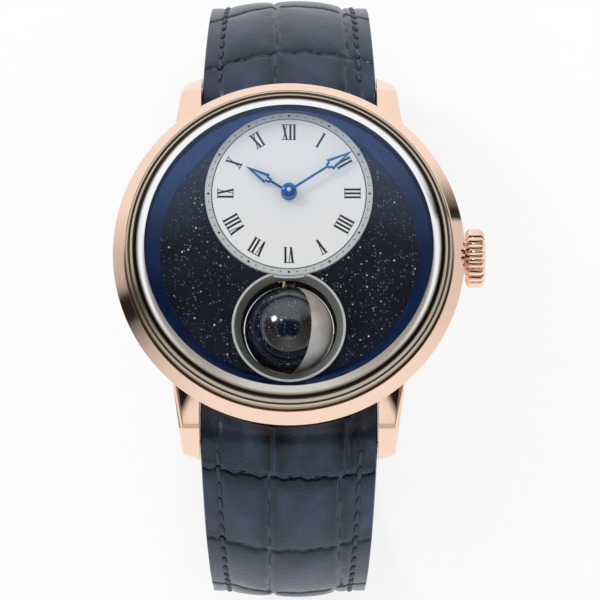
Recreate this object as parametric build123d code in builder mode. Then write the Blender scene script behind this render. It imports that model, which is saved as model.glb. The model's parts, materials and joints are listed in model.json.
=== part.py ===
from build123d import *
from math import atan2, cos, degrees, hypot, radians, sin
import os

# Moon phase wristwatch on a padded leather strap, in millimetres.
# Z points from the case back to the dial, Y to twelve o'clock and X to the crown.
# The origin is the middle of the flat face of the case back.

# Running clearances
fit_gap = 0.03
pivot_gap = 0.04
running_gap = 0.1
body_gap = 0.3
cut_over = 0.5

# Case: every ring steps out from the bore
case_bore = 17.7
case_back_lip = 2.1
case_back_height = 2.0
case_back_bevel = 0.7
case_back_ring = 4.0
case_back_wall = 0.55
glass_seat = 0.8
glass_back_height = 1.1
notch_count = 4
notch_width = 2.2
notch_depth = 0.5
notch_inset = 1.2
foot_step = 0.4
flank_flare = 0.2
case_flank_height = 5.6
case_top_height = 9.9
gasket_width = 0.5
gasket_height = 0.3
case_back_radius = case_bore + case_back_lip
glass_back_radius = case_back_radius - case_back_ring
case_back_opening = glass_back_radius - glass_seat
notch_radius = case_back_radius - notch_inset
case_foot_radius = case_back_radius + foot_step
case_flank_radius = case_foot_radius + flank_flare

# Front crystal and bezel
crystal_overhang = 2.65
crystal_seat = 1.65
crystal_wall = 1.75
crystal_side_height = 13.1
shoulder_width = 2.45
crystal_shoulder_height = 14.9
crystal_top_height = 15.9
crystal_roof = 1.0
bezel_land = 0.2
bezel_slope = 1.45
bezel_overhang = 0.5
bezel_edge_height = 10.4
bezel_top_height = 11.8
seat_height = 11.2
seat_gasket = 0.15
crystal_radius = case_bore + crystal_overhang
crystal_shoulder_radius = crystal_radius - shoulder_width
bezel_bore = crystal_radius - crystal_seat
bezel_top_radius = crystal_radius + bezel_land
bezel_radius = bezel_top_radius + bezel_slope
case_top_radius = bezel_radius - bezel_overhang

# Lugs and spring bars
lug_space = 22.3
lug_foot_width = 3.45
lug_tip_width = 2.1
lug_nose = 1.8
lug_nose_slant = 0.8
lug_tip_height = 2.2
lug_heel_height = 1.2
lug_root_depth = 2.7
lug_root_top = 9.6
lug_knee_set = 1.1
lug_knee_top = 7.6
lug_chamfer = 0.9
bar_clearance = 1.0
bar_height = 3.4
bar_radius = 0.75
bar_pin_radius = 0.45
bar_pin_length = 1.0
bar_reach = bezel_radius + bar_clearance
lug_reach = bar_reach + lug_nose
lug_knee_reach = bar_reach - lug_knee_set
lug_root_reach = case_bore - lug_root_depth
lug_foot_half_width = lug_space / 2 + lug_foot_width
lug_tip_half_width = lug_space / 2 + lug_tip_width

# Crown and winding stem
stem_height = 7.3
crown_radius = 3.7
crown_gap = 0.05
crown_length = 2.65
crown_dome = 0.5
crown_edge = 0.55
crown_ribs = 20
rib_height = 0.35
rib_share = 0.2
crown_bore_depth = 1.0
stem_seat_depth = 1.6
tube_radius = 1.9
tube_wall = 1.15
tube_inset = 0.4
tube_reach = 0.85
tube_clearance = 0.25
stem_radius = 0.62
stem_inner_end = 7.4
stem_waist_radius = 0.36
stem_waist_start = 13.0
stem_waist_length = 0.7
crown_pull_travel = 1.2
crown_start = bezel_radius + crown_gap
crown_end = crown_start + crown_length
crown_bore = tube_radius + tube_clearance
tube_bore = tube_radius - tube_wall
tube_inner_end = case_bore + tube_inset
tube_outer_end = crown_start + tube_reach
stem_waist_end = stem_waist_start + stem_waist_length

# Dial side
flange_gap = 0.2
flange_land = 0.66
flange_slope = 1.74
flange_top_height = 12.5
flange_lip = 0.15
dial_gap = 0.15
dial_top = 10.8
dial_thickness = 0.5
hands_reach = 7.3
subdial_radius = 10.5
minute_ring_width = 0.87
minute_ring_height = 0.7
disc_height = 0.76
dial_bore = 0.85
moon_reach = 9.63
moon_ring_radius = 7.08
moon_ring_height = 0.55
moon_ring_rim = 0.28
moon_cone_width = 0.85
moon_cone_depth = 0.7
moon_opening_width = 0.78
moon_radius = 5.55
moon_height = 8.5
moon_seam_turn = 30.5
moon_well_gap = 0.55
axle_radius = 0.3
axle_south = 6.3
axle_north = 7.2
bearing_radius = 0.7
bearing_gap = 0.25
bearing_length = 0.55
moon_wheel_teeth = 16
moon_wheel_pitch = 1.05
moon_wheel_gap = 0.35
moon_wheel_length = 0.4
flange_radius = bezel_bore - flange_gap
flange_top_radius = flange_radius - flange_land
flange_bore = flange_top_radius - flange_slope
dial_radius = case_bore - dial_gap
disc_radius = subdial_radius - minute_ring_width
moon_cone_radius = moon_ring_radius - moon_ring_rim - moon_cone_width
moon_opening = moon_ring_radius - moon_opening_width
moon_well_radius = moon_radius + moon_well_gap
bearing_start = moon_radius + bearing_gap
moon_wheel_start = bearing_start + bearing_length + moon_wheel_gap

# Hands
minute_turn = 57.0
hour_turn = -58.4
minute_hand_base = 12.8
hour_hand_base = 12.15
hand_thickness = 0.16
hub_radius = 0.95
hub_rim_height = 0.35
hub_height = 0.8
hour_hub_radius = 1.25
stalk_half_width = 0.14
minute_tip = 9.39
minute_corner = 6.15
minute_notch = 5.83
minute_head_half_width = 0.77
hour_tip = 6.36
hour_corner = 3.24
hour_notch = 2.8
hour_head_half_width = 0.67
head_frame = 0.22
head_side_share = 1.4

# Movement levels, from the back bridges to the plate under the dial
casing_width = 1.2
plate_base = 8.4
plate_top = 9.2
plate_rim_width = 0.9
bridge_base = 4.9
bridge_top = 6.2
bridge_inset = 0.3
ring_gap = 0.1
well_gap = 0.6
movement_radius = case_bore - casing_width
bridge_radius = movement_radius - bridge_inset

# Barrel and winding wheels
crown_wheel_x = 8.4
winding_turn = 105.0
ratchet_teeth = 28
ratchet_pitch = 3.9
crown_wheel_teeth = 22
crown_wheel_pitch = 3.1
winding_wheel_base = 4.2
winding_wheel_height = 0.5
contrate_outer = 3.0
contrate_wall = 0.5
contrate_top = 5.7
groove_gap = 0.12
groove_top = 5.85
winding_pinion_teeth = 12
winding_pinion_pitch = 1.35
winding_pinion_length = 0.9
sliding_pinion_start = 8.3
sliding_pinion_length = 2.0
sliding_pinion_pitch = 1.0
sliding_pinion_teeth = 12
barrel_radius = 5.2
barrel_base = 6.85
barrel_top = 8.25
barrel_wall = 0.3
barrel_teeth = 48
arbor_radius = 0.5
arbor_core_radius = 1.1
mainspring_outer = 4.6
mainspring_inner = 1.4
mainspring_turns = 3
mainspring_wall = 0.35
click_distance = 5.6
click_turn = -20.0
click_width = 0.9
click_length = 2.3
click_gap = 0.12

# Going train: each wheel stands at a turn from the wheel before
centre_pitch = 4.1
centre_teeth = 48
centre_pinion_teeth = 8
third_turn = 200.0
third_pitch = 3.6
third_teeth = 45
fourth_turn = 215.0
fourth_pitch = 3.2
fourth_teeth = 60
pinion_leaves = 6
escape_turn = 250.0
escape_radius = 2.1
escape_root = 1.6
escape_teeth = 15
escape_lean = 7.0
wheel_thickness = 0.22
pinion_height = 0.4
train_arbor = 0.2
wheel_rim = 0.55
wheel_hub = 0.75
centre_wheel_base = 6.38
third_wheel_base = 7.35
fourth_wheel_base = 6.85
escape_wheel_base = 7.5
end_shake = 0.05
pallet_turn = 265.0
pallet_distance = 2.85
pallet_reach = 1.55
pallet_drop = 0.95
pallet_width = 0.3
pallet_base = 7.45
fork_length = 2.2
fork_width = 0.4
fork_mouth = 0.45
balance_turn = 262.0
balance_distance = 3.3
balance_radius = 3.5
balance_rim = 0.45
balance_base = 6.3
balance_thickness = 0.45
balance_arm_width = 0.5
roller_radius = 0.55
hairspring_base = 5.85
hairspring_height = 0.2
hairspring_outer = 1.8
hairspring_inner = 0.5
hairspring_turns = 3
hairspring_wall = 0.1

# Motion works under the dial
motion_distance = 3.0
motion_turn = -60.0
cannon_teeth = 10
minute_wheel_teeth = 30
minute_pinion_teeth = 8
hour_wheel_teeth = 32
cannon_pipe_radius = 0.42
cannon_bore = 0.24
hour_pipe_radius = 0.75
cannon_base = 9.27
minute_wheel_base = 9.35
hour_wheel_base = 9.8
motion_thickness = 0.3

# Setting lever
lever_distance = 2.6
lever_thickness = 0.3
lever_base = 8.03
lever_pin_radius = 0.2
lever_pin_depth = 0.3
lever_width = 0.8

# Bridges, jewels and screws
barrel_bridge_left = -1.6
barrel_bridge_low = -3.5
bridge_split = 0.3
train_bridge_low = -1.0
pallet_bridge_base = 6.9
pallet_bridge_height = 0.35
pallet_bridge_half = 2.6
pallet_bridge_width = 1.4
bridge_corner = 0.8
jewel_radius = 0.55
jewel_height = 0.2
screw_head_radius = 0.7
screw_head_height = 0.35
screw_slot = 0.2
screw_slot_depth = 0.15
screw_inset = 1.6
wheel_screw_radius = 1.2
cock_width = 2.6
cock_thickness = 0.7
clamp_length = 3.0
clamp_overlap = 0.5
clamp_width = 2.8
clamp_height = 0.35
screw_radius = movement_radius - screw_inset
clamp_reach = movement_radius + clamp_overlap
clamp_start = clamp_reach - clamp_width

# Strap, with the upper half at twelve o'clock
strap_side_gap = 0.2
strap_end_width = 20.0
strap_eye_radius = 1.65
strap_bar_gap = 0.08
strap_edge = 2.2
strap_head_edge = 3.0
strap_head_crown = 0.5
strap_crown = 1.3
strap_end_crown = 0.4
strap_section_shares = (0, 0.2, 0.4, 0.6, 0.8, 1)
strap_crown_peak_share = 0.7
strap_crown_shares = ((0.3, 1.0), (0.75, 0.55), (1.0, 0.0))
upper_leave_angle = 24.0
lower_leave_angle = 30.0
upper_bow = 16.5
lower_bow = 13.4
strap_floor = 39.0
upper_end_reach = 10.6
lower_end_reach = 4.0
upper_bend_radius = 16.5
lower_bend_radius = 18.0
strap_tip_radius = 7.0
hole_count = 4
hole_spacing = 5.2
hole_radius = 0.75
hole_first = 6.0
strap_width = lug_space - 2 * strap_side_gap
upper_reach = bar_reach + upper_bow
lower_reach = bar_reach + lower_bow

# Buckle and keepers
buckle_side_gap = 0.45
buckle_arm = 2.0
buckle_bar = 1.9
buckle_front = 12.0
buckle_thickness = 1.6
buckle_corner = 2.4
buckle_bevel = 0.2
pin_radius = 0.6
pin_eye = 1.15
tang_width = 1.8
tang_thickness = 0.6
tang_slot_width = 2.6
tang_slot_depth = 1.6
tang_gap = 0.05
tang_point = 0.8
keeper_length = 4.5
keeper_wall = 0.9
keeper_gap = 0.12
fixed_keeper_turn = 20.0
loose_keeper_turn = 41.0
buckle_inner_width = strap_end_width + 2 * buckle_side_gap
buckle_width = buckle_inner_width + 2 * buckle_arm

# Shares that shape teeth, of one module, and wheel openings, of one spoke spacing
tooth_above_share = 0.75
tooth_below_share = 1.0
window_share = 0.3
spoke_count = 4

# Sides that stand in for small and middling rounds, and steps in one turn of a spiral
small_sides = 8
middle_sides = 18
small_round_limit = 1.5
middle_round_limit = 6.0
spiral_steps = 8

os.makedirs("parts", exist_ok=True)


def keep(piece, name):
    """Label a finished piece and write its file."""
    piece.part.label = name
    export_step(piece.part, f"parts/{name}.step")


def upright(x=0, y=0, heading=0):
    """Plane that stands on a vertical axis: radius to the right, height upwards."""
    turn = radians(heading)
    return Plane(origin=(x, y, 0), x_dir=(cos(turn), sin(turn), 0), z_dir=(sin(turn), -cos(turn), 0))


def turned_face(points, plane=upright()):
    """Face with straight sides through radius and height points, to be revolved."""
    with BuildSketch(plane) as outline:
        with BuildLine():
            Polyline(*points, close=True)
        make_face()
    return outline.sketch


def ring_face(inner, outer, base, top, plane=upright()):
    """Rectangular section of a plain ring."""
    return turned_face([(inner, base), (outer, base), (outer, top), (inner, top)], plane)


def post(x, y):
    """Vertical axis through a place on the movement."""
    return Axis((x, y, 0), (0, 0, 1))


def faceted_round(radius, hole=False, mode=Mode.ADD):
    """Draw a round with few straight sides: a peg stays inside its radius, a hole outside."""
    if radius < small_round_limit:
        RegularPolygon(radius, small_sides, major_radius=not hole, mode=mode)
    elif radius < middle_round_limit:
        RegularPolygon(radius, middle_sides, major_radius=not hole, mode=mode)
    else:
        Circle(radius, mode=mode)


def round_slice(x, y, base, radius, top, bore=0):
    """Add a plain round slice, with a bore if asked, to the part in hand."""
    with BuildSketch(Plane.XY.offset(base)) as outline:
        with Locations((x, y)):
            faceted_round(radius)
            if bore:
                faceted_round(bore, hole=True, mode=Mode.SUBTRACT)
    extrude(outline.sketch, amount=top - base)


def tooth_points(count, pitch, phase):
    """Corners of a ring of pointed teeth; phase is the angle of one tooth."""
    module = 2 * pitch / count
    tip = pitch + module * tooth_above_share
    root = pitch - module * tooth_below_share
    step = 360 / count
    corners = []
    for index in range(count):
        for share, radius in ((0, tip), (0.5, root)):
            angle = radians(phase + (index + share) * step)
            corners.append((radius * cos(angle), radius * sin(angle)))
    return corners


def toothed_face(plane, count, pitch, phase, windows=0, bore=0):
    """Toothed disc as a face, with windows between its spokes or a round bore."""
    with BuildSketch(plane) as outline:
        with BuildLine():
            Polyline(*tooth_points(count, pitch, phase), close=True)
        make_face()
        if bore:
            faceted_round(bore, hole=True, mode=Mode.SUBTRACT)
        for index in range(windows):
            with BuildLine():
                Polyline(*window_points(pitch, index, windows), close=True)
            make_face(mode=Mode.SUBTRACT)
    return outline.sketch


def window_points(pitch, index, count):
    """Corners of one of count openings between the spokes of a wheel."""
    outer = pitch - wheel_rim
    places = []
    for share, radius in ((-window_share, outer), (0, outer), (window_share, outer), (0, wheel_hub)):
        angle = radians((index + share) * 360 / count)
        places.append((radius * cos(angle), radius * sin(angle)))
    return places


def meshed_phase(phase, count, other_count, direction):
    """Phase of the wheel that meshes with one whose own phase is known."""
    step = 360 / count
    other_step = 360 / other_count
    share = ((direction - phase) / step) % 1
    return direction + 180 + (share + 0.5) * other_step


def beside(x, y, distance, heading):
    """Place at a distance and heading from another."""
    turn = radians(heading)
    return x + distance * cos(turn), y + distance * sin(turn)


# Case back: a ring screwed into the case, with notches for its key
with BuildPart() as case_back:
    revolve(
        turned_face(
            [
                (case_back_opening, 0),
                (case_back_radius - case_back_bevel, 0),
                (case_back_radius, case_back_bevel),
                (case_back_radius, case_back_height),
                (glass_back_radius + fit_gap, case_back_height),
                (glass_back_radius + fit_gap, case_back_wall),
                (case_back_opening, case_back_wall),
            ]
        ),
        axis=Axis.Z,
    )
    with BuildSketch(Plane.XY):
        with PolarLocations(notch_radius, notch_count, start_angle=180 / notch_count):
            Rectangle(notch_width, notch_width)
    extrude(amount=notch_depth, mode=Mode.SUBTRACT)
keep(case_back, "case_back")

# Back crystal, dropped into the case back from inside; its face ends level with the ring
with BuildPart() as back_crystal:
    with BuildSketch(Plane.XY.offset(case_back_wall)):
        Circle(glass_back_radius)
    extrude(amount=glass_back_height)
    with BuildSketch(Plane.XY):
        Circle(case_back_opening - fit_gap)
    extrude(amount=case_back_wall)
keep(back_crystal, "back_crystal")

# Case gasket, in a step at the foot of the middle case
with BuildPart() as case_gasket:
    revolve(
        ring_face(
            case_bore, case_bore + gasket_width, case_back_height, case_back_height + gasket_height
        ),
        axis=Axis.Z,
    )
keep(case_gasket, "case_gasket")

# Middle case: a flared band with four lugs
with BuildPart() as mid_case:
    with BuildSketch(Plane.YZ) as lug_side:
        with BuildLine():
            Polyline(
                (lug_root_reach, case_back_height),
                (lug_root_reach, lug_root_top),
                (lug_root_reach + lug_chamfer, lug_root_top),
                (lug_knee_reach, lug_knee_top),
                (lug_reach, lug_tip_height + lug_chamfer),
                (lug_reach, lug_heel_height + lug_chamfer),
                (lug_reach - lug_chamfer, lug_heel_height),
                (lug_knee_reach - lug_chamfer, lug_heel_height),
                (case_back_radius, case_back_height),
                close=True,
            )
        make_face()
    extrude(amount=lug_foot_half_width, both=True)
    with BuildSketch(Plane.XY.offset(-cut_over)):
        with BuildLine():
            Polyline(
                (lug_foot_half_width, lug_root_reach - cut_over),
                (lug_foot_half_width, lug_root_reach),
                (lug_tip_half_width, lug_reach - lug_nose_slant),
                (lug_space / 2, lug_reach),
                (lug_space / 2, lug_reach + cut_over),
                (lug_foot_half_width + cut_over, lug_reach + cut_over),
                (lug_foot_half_width + cut_over, lug_root_reach - cut_over),
                close=True,
            )
        make_face()
        mirror(about=Plane.YZ)
        with Locations((0, (lug_reach + lug_root_reach) / 2)):
            Rectangle(lug_space, lug_reach - lug_root_reach + 2 * cut_over)
    extrude(amount=case_top_height + cut_over, mode=Mode.SUBTRACT)
    top_corners = [
        edge
        for edge in mid_case.edges().filter_by(GeomType.LINE)
        if abs(edge.center().X) > lug_space / 2 + lug_chamfer
        and edge.center().Y > lug_knee_reach
        and lug_tip_height + lug_chamfer < edge.center().Z < lug_knee_top
    ]
    chamfer(top_corners, lug_chamfer / 2)
    mirror(about=Plane.XZ)
    revolve(
        turned_face(
            [
                (case_bore + gasket_width + fit_gap, case_back_height),
                (case_foot_radius, case_back_height),
                (case_flank_radius, case_flank_height),
                (case_top_radius, case_top_height),
                (case_bore, case_top_height),
                (case_bore, case_back_height + gasket_height + fit_gap),
                (case_bore + gasket_width + fit_gap, case_back_height + gasket_height + fit_gap),
            ]
        ),
        axis=Axis.Z,
    )
    with BuildSketch(Plane.YZ.offset(-lug_foot_half_width)):
        with Locations((bar_reach, bar_height), (-bar_reach, bar_height)):
            faceted_round(bar_pin_radius + fit_gap, hole=True)
    extrude(amount=2 * lug_foot_half_width, mode=Mode.SUBTRACT)
    with BuildSketch(Plane.YZ.offset(case_bore - cut_over)):
        with Locations((0, stem_height)):
            faceted_round(tube_radius + fit_gap, hole=True)
    extrude(amount=case_top_radius - case_bore + 2 * cut_over, mode=Mode.SUBTRACT)
keep(mid_case, "mid_case")

# Bezel, a cone ring on the case that holds the crystal
with BuildPart() as bezel:
    revolve(
        turned_face(
            [
                (bezel_bore, case_top_height),
                (case_top_radius, case_top_height),
                (bezel_radius, bezel_edge_height),
                (bezel_top_radius, bezel_top_height),
                (crystal_radius + fit_gap, bezel_top_height),
                (crystal_radius + fit_gap, seat_height),
                (bezel_bore, seat_height),
            ]
        ),
        axis=Axis.Z,
    )
keep(bezel, "bezel")

# Crystal gasket, flat under the crystal
with BuildPart() as crystal_gasket:
    revolve(
        ring_face(
            crystal_radius - crystal_wall,
            crystal_radius,
            seat_height,
            seat_height + seat_gasket,
        ),
        axis=Axis.Z,
    )
keep(crystal_gasket, "crystal_gasket")

# Front crystal: a box crystal with a rounded shoulder and a low dome
crystal_foot = seat_height + seat_gasket
inner_wall = crystal_radius - crystal_wall
inner_shoulder = crystal_shoulder_radius - crystal_roof
with BuildPart() as front_crystal:
    with BuildSketch(upright()):
        with BuildLine():
            Line((inner_wall, crystal_foot), (crystal_radius, crystal_foot))
            Line((crystal_radius, crystal_foot), (crystal_radius, crystal_side_height))
            Line(
                (crystal_radius, crystal_side_height),
                (crystal_radius - crystal_roof / 2, crystal_side_height + crystal_roof),
            )
            Line(
                (crystal_radius - crystal_roof / 2, crystal_side_height + crystal_roof),
                (crystal_shoulder_radius, crystal_shoulder_height),
            )
            Line((crystal_shoulder_radius, crystal_shoulder_height), (0, crystal_top_height))
            Line((0, crystal_top_height), (0, crystal_top_height - crystal_roof))
            Line(
                (0, crystal_top_height - crystal_roof),
                (inner_shoulder, crystal_shoulder_height - crystal_roof),
            )
            Line(
                (inner_shoulder, crystal_shoulder_height - crystal_roof),
                (inner_wall, crystal_side_height - crystal_roof / 2),
            )
            Line((inner_wall, crystal_side_height - crystal_roof / 2), (inner_wall, crystal_foot))
        make_face()
    revolve(axis=Axis.Z)
keep(front_crystal, "front_crystal")

# Spring bars between the lugs: a thick tube with a pin at each end
with BuildPart() as lug_spring_bars:
    bar_half = lug_space / 2 - running_gap
    for side in (1, -1):
        with BuildSketch(Plane.YZ.offset(-bar_half)):
            with Locations((side * bar_reach, bar_height)):
                faceted_round(bar_radius)
        extrude(amount=2 * bar_half)
        with BuildSketch(Plane.YZ.offset(-bar_half - bar_pin_length)):
            with Locations((side * bar_reach, bar_height)):
                faceted_round(bar_pin_radius)
        extrude(amount=2 * (bar_half + bar_pin_length))
keep(lug_spring_bars, "lug_spring_bars")

# Crown tube, pressed through the case wall
with BuildPart() as crown_tube:
    with BuildSketch(Plane.YZ.offset(tube_inner_end)):
        with Locations((0, stem_height)):
            faceted_round(tube_radius)
            faceted_round(tube_bore, hole=True, mode=Mode.SUBTRACT)
    extrude(amount=tube_outer_end - tube_inner_end)
keep(crown_tube, "crown_tube")

# Crown: a domed button with a ribbed edge and a bore over the tube
rib_root = crown_radius - rib_height
with BuildPart() as crown:
    with BuildSketch(Plane.XY.offset(stem_height)):
        with BuildLine():
            Polyline(
                (crown_start, 0),
                (crown_start, rib_root - crown_edge),
                (crown_start + crown_edge, rib_root),
                (crown_end - crown_dome - crown_edge, rib_root),
                (crown_end - crown_dome, rib_root - crown_edge),
                (crown_end, 0),
                close=True,
            )
        make_face()
    revolve(axis=Axis((0, 0, stem_height), (1, 0, 0)))
    with BuildSketch(Plane(origin=(crown_start + crown_edge, 0, stem_height), z_dir=(1, 0, 0))):
        with BuildLine():
            corners = []
            for index in range(crown_ribs):
                for share, radius in (
                    (-rib_share, crown_radius), (rib_share, crown_radius), (0.5, rib_root)
                ):
                    angle = radians((index + share) * 360 / crown_ribs)
                    corners.append((radius * cos(angle), radius * sin(angle)))
            Polyline(*corners, close=True)
        make_face()
    extrude(amount=crown_end - crown_dome - crown_start - 2 * crown_edge)
    with BuildSketch(Plane.YZ.offset(crown_start)):
        with Locations((0, stem_height)):
            faceted_round(crown_bore, hole=True)
    extrude(amount=crown_bore_depth, mode=Mode.SUBTRACT)
    with BuildSketch(Plane.YZ.offset(crown_start)):
        with Locations((0, stem_height)):
            faceted_round(stem_radius + fit_gap, hole=True)
    extrude(amount=stem_seat_depth, mode=Mode.SUBTRACT)
keep(crown, "crown")

# Winding stem, with a waist that the setting lever holds
stem_end = crown_start + stem_seat_depth
with BuildPart() as winding_stem:
    with BuildSketch(Plane.YZ.offset(stem_inner_end)):
        with Locations((0, stem_height)):
            faceted_round(stem_radius)
    extrude(amount=stem_end - stem_inner_end)
    with BuildSketch(Plane.YZ.offset(stem_waist_start)):
        with Locations((0, stem_height)):
            faceted_round(stem_radius + cut_over)
            faceted_round(stem_waist_radius, mode=Mode.SUBTRACT)
    extrude(amount=stem_waist_end - stem_waist_start, mode=Mode.SUBTRACT)
keep(winding_stem, "winding_stem")

# Movement places, from the dial side
hands_x, hands_y = 0, hands_reach
barrel_x, barrel_y = beside(crown_wheel_x, 0, ratchet_pitch + crown_wheel_pitch, winding_turn)
barrel_span = hypot(barrel_x - hands_x, barrel_y - hands_y)
barrel_heading = degrees(atan2(barrel_y - hands_y, barrel_x - hands_x))
barrel_pitch = barrel_span * barrel_teeth / (barrel_teeth + centre_pinion_teeth)
centre_pinion_pitch = barrel_span - barrel_pitch
third_pinion_pitch = centre_pitch * pinion_leaves / centre_teeth
fourth_pinion_pitch = third_pitch * pinion_leaves / third_teeth
escape_pinion_pitch = fourth_pitch * pinion_leaves / fourth_teeth
third_x, third_y = beside(hands_x, hands_y, centre_pitch + third_pinion_pitch, third_turn)
fourth_x, fourth_y = beside(third_x, third_y, third_pitch + fourth_pinion_pitch, fourth_turn)
escape_x, escape_y = beside(fourth_x, fourth_y, fourth_pitch + escape_pinion_pitch, escape_turn)
pallet_x, pallet_y = beside(escape_x, escape_y, pallet_distance, pallet_turn)
balance_x, balance_y = beside(pallet_x, pallet_y, balance_distance, balance_turn)
motion_x, motion_y = beside(hands_x, hands_y, motion_distance, motion_turn)
dial_base = dial_top - dial_thickness

# Dial flange: the blue sloping ring between dial and crystal
with BuildPart() as dial_flange:
    revolve(
        turned_face(
            [
                (flange_bore, dial_top),
                (flange_bore, dial_top + flange_lip),
                (flange_top_radius, flange_top_height),
                (flange_radius, flange_top_height),
                (flange_radius, case_top_height),
                (case_bore + fit_gap, case_top_height),
                (case_bore + fit_gap, dial_top),
            ]
        ),
        axis=Axis.Z,
    )
    with BuildSketch(Plane.XY.offset(dial_top)):
        with Locations((0, hands_reach)):
            Circle(subdial_radius + fit_gap)
        with Locations((0, -moon_reach)):
            Circle(moon_ring_radius + fit_gap)
    extrude(amount=flange_top_height - dial_top, mode=Mode.SUBTRACT)
keep(dial_flange, "dial_flange")

# Main dial, with an opening for the moon and a bore for the hands
with BuildPart() as main_dial:
    with BuildSketch(Plane.XY.offset(dial_base)):
        Circle(dial_radius)
        with Locations((0, -moon_reach)):
            Circle(moon_opening, mode=Mode.SUBTRACT)
        with Locations((0, hands_reach)):
            Circle(dial_bore, mode=Mode.SUBTRACT)
    extrude(amount=dial_thickness)
keep(main_dial, "main_dial")

# Hours dial, a white disc for the hour numerals
with BuildPart() as hours_dial:
    with BuildSketch(Plane.XY.offset(dial_top)):
        with Locations((0, hands_reach)):
            Circle(disc_radius)
            Circle(dial_bore, mode=Mode.SUBTRACT)
    extrude(amount=disc_height)
keep(hours_dial, "hours_dial")

# Minute ring round the hours dial
with BuildPart() as minute_ring:
    with BuildSketch(Plane.XY.offset(dial_top)):
        with Locations((0, hands_reach)):
            Circle(subdial_radius)
            Circle(disc_radius + fit_gap, mode=Mode.SUBTRACT)
    extrude(amount=minute_ring_height)
keep(minute_ring, "minute_ring")

# Moon ring: a rim and an inner cone round the moon, cut where the minute ring meets it
moon_plane = upright(0, -moon_reach)
moon_post = post(0, -moon_reach)
ring_top = dial_top + moon_ring_height
with BuildPart() as moon_ring:
    revolve(
        turned_face(
            [
                (moon_ring_radius, dial_top),
                (moon_ring_radius, ring_top),
                (moon_ring_radius - moon_ring_rim, ring_top),
                (moon_cone_radius, ring_top - moon_cone_depth),
                (moon_cone_radius, ring_top - moon_cone_depth - flange_lip),
                (moon_opening - fit_gap, ring_top - moon_cone_depth - flange_lip),
                (moon_opening - fit_gap, dial_top),
            ],
            moon_plane,
        ),
        axis=moon_post,
    )
    with BuildSketch(Plane.XY.offset(dial_base)):
        with Locations((0, hands_reach)):
            Circle(subdial_radius + fit_gap)
    extrude(amount=dial_thickness + minute_ring_height, mode=Mode.SUBTRACT)
keep(moon_ring, "moon_ring")

# Moon: two half spheres on one axle, a dark night half and a pale lit half
seam = radians(moon_seam_turn)
moon_centre = (0, -moon_reach, moon_height)
light_way = (cos(seam), 0, -sin(seam))
axle_start = -moon_reach - axle_south
for moon_name, moon_side in (("moon_globe_light", Keep.TOP), ("moon_globe_dark", Keep.BOTTOM)):
    with BuildPart() as globe:
        with Locations(moon_centre):
            Sphere(moon_radius, rotation=(90, 0, 0))
        with BuildSketch(Plane.XZ.offset(-axle_start)):
            with Locations((0, moon_height)):
                faceted_round(axle_radius + fit_gap, hole=True)
        extrude(amount=-(axle_south + axle_north), mode=Mode.SUBTRACT)
        split(bisect_by=Plane(origin=moon_centre, x_dir=(0, 1, 0), z_dir=light_way), keep=moon_side)
    keep(globe, moon_name)

# Moon axle, with the small wheel that turns it at its twelve o'clock end
with BuildPart() as moon_axle:
    with BuildSketch(Plane.XZ.offset(-axle_start)):
        with Locations((0, moon_height)):
            faceted_round(axle_radius)
    extrude(amount=-(axle_south + axle_north))
keep(moon_axle, "moon_axle")

wheel_plane = Plane(origin=(0, moon_wheel_start - moon_reach, moon_height), x_dir=(1, 0, 0), z_dir=(0, 1, 0))
with BuildPart() as moon_drive_wheel:
    extrude(
        toothed_face(
            wheel_plane, moon_wheel_teeth, moon_wheel_pitch, 0, bore=axle_radius + fit_gap
        ),
        amount=moon_wheel_length,
    )
keep(moon_drive_wheel, "moon_drive_wheel")

# Bushes that carry the moon axle at both ends
with BuildPart() as moon_bearings:
    for start in (bearing_start - moon_reach, -bearing_start - bearing_length - moon_reach):
        with BuildSketch(Plane.XZ.offset(-start)):
            with Locations((0, moon_height)):
                faceted_round(bearing_radius)
                faceted_round(axle_radius + pivot_gap, hole=True, mode=Mode.SUBTRACT)
        extrude(amount=-bearing_length)
keep(moon_bearings, "moon_bearings")


def hand_face(base, turn, tip, corner, notch, half_width, hub, bore=0):
    """Outline of a slim hand with a hollow spade head, turned clockwise from twelve."""
    heading = radians(90 - turn)
    plane = Plane(origin=(hands_x, hands_y, base), x_dir=(cos(heading), sin(heading), 0), z_dir=(0, 0, 1))
    frame = head_frame
    slope = (tip - corner) / half_width
    with BuildSketch(plane) as outline:
        with BuildLine():
            Polyline(
                (0, stalk_half_width),
                (notch, stalk_half_width),
                (corner, half_width),
                (tip, 0),
                (corner, -half_width),
                (notch, -stalk_half_width),
                (0, -stalk_half_width),
                close=True,
            )
        make_face()
        with BuildLine():
            Polyline(
                (corner + frame / 2, half_width - frame * head_side_share),
                (tip - frame * slope, 0),
                (corner + frame / 2, frame * head_side_share - half_width),
                (corner - frame / 4, 0),
                close=True,
            )
        make_face(mode=Mode.SUBTRACT)
        faceted_round(hub)
        if bore:
            faceted_round(bore, hole=True, mode=Mode.SUBTRACT)
    return outline.sketch


# Hour hand, pressed on the pipe of the hour wheel
with BuildPart() as hour_hand:
    extrude(
        hand_face(
            hour_hand_base, hour_turn, hour_tip, hour_corner, hour_notch, hour_head_half_width,
            hour_hub_radius, hour_pipe_radius + fit_gap,
        ),
        amount=hand_thickness,
    )
keep(hour_hand, "hour_hand")

# Minute hand, with a domed hub that covers the cannon pinion
with BuildPart() as minute_hand:
    extrude(
        hand_face(
            minute_hand_base, minute_turn, minute_tip, minute_corner, minute_notch,
            minute_head_half_width, hub_radius,
        ),
        amount=hand_thickness,
    )
    round_slice(
        hands_x, hands_y, minute_hand_base, hub_radius, minute_hand_base + hub_rim_height
    )
    round_slice(hands_x, hands_y, minute_hand_base, hub_radius / 2, minute_hand_base + hub_height)
keep(minute_hand, "minute_hand")

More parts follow.
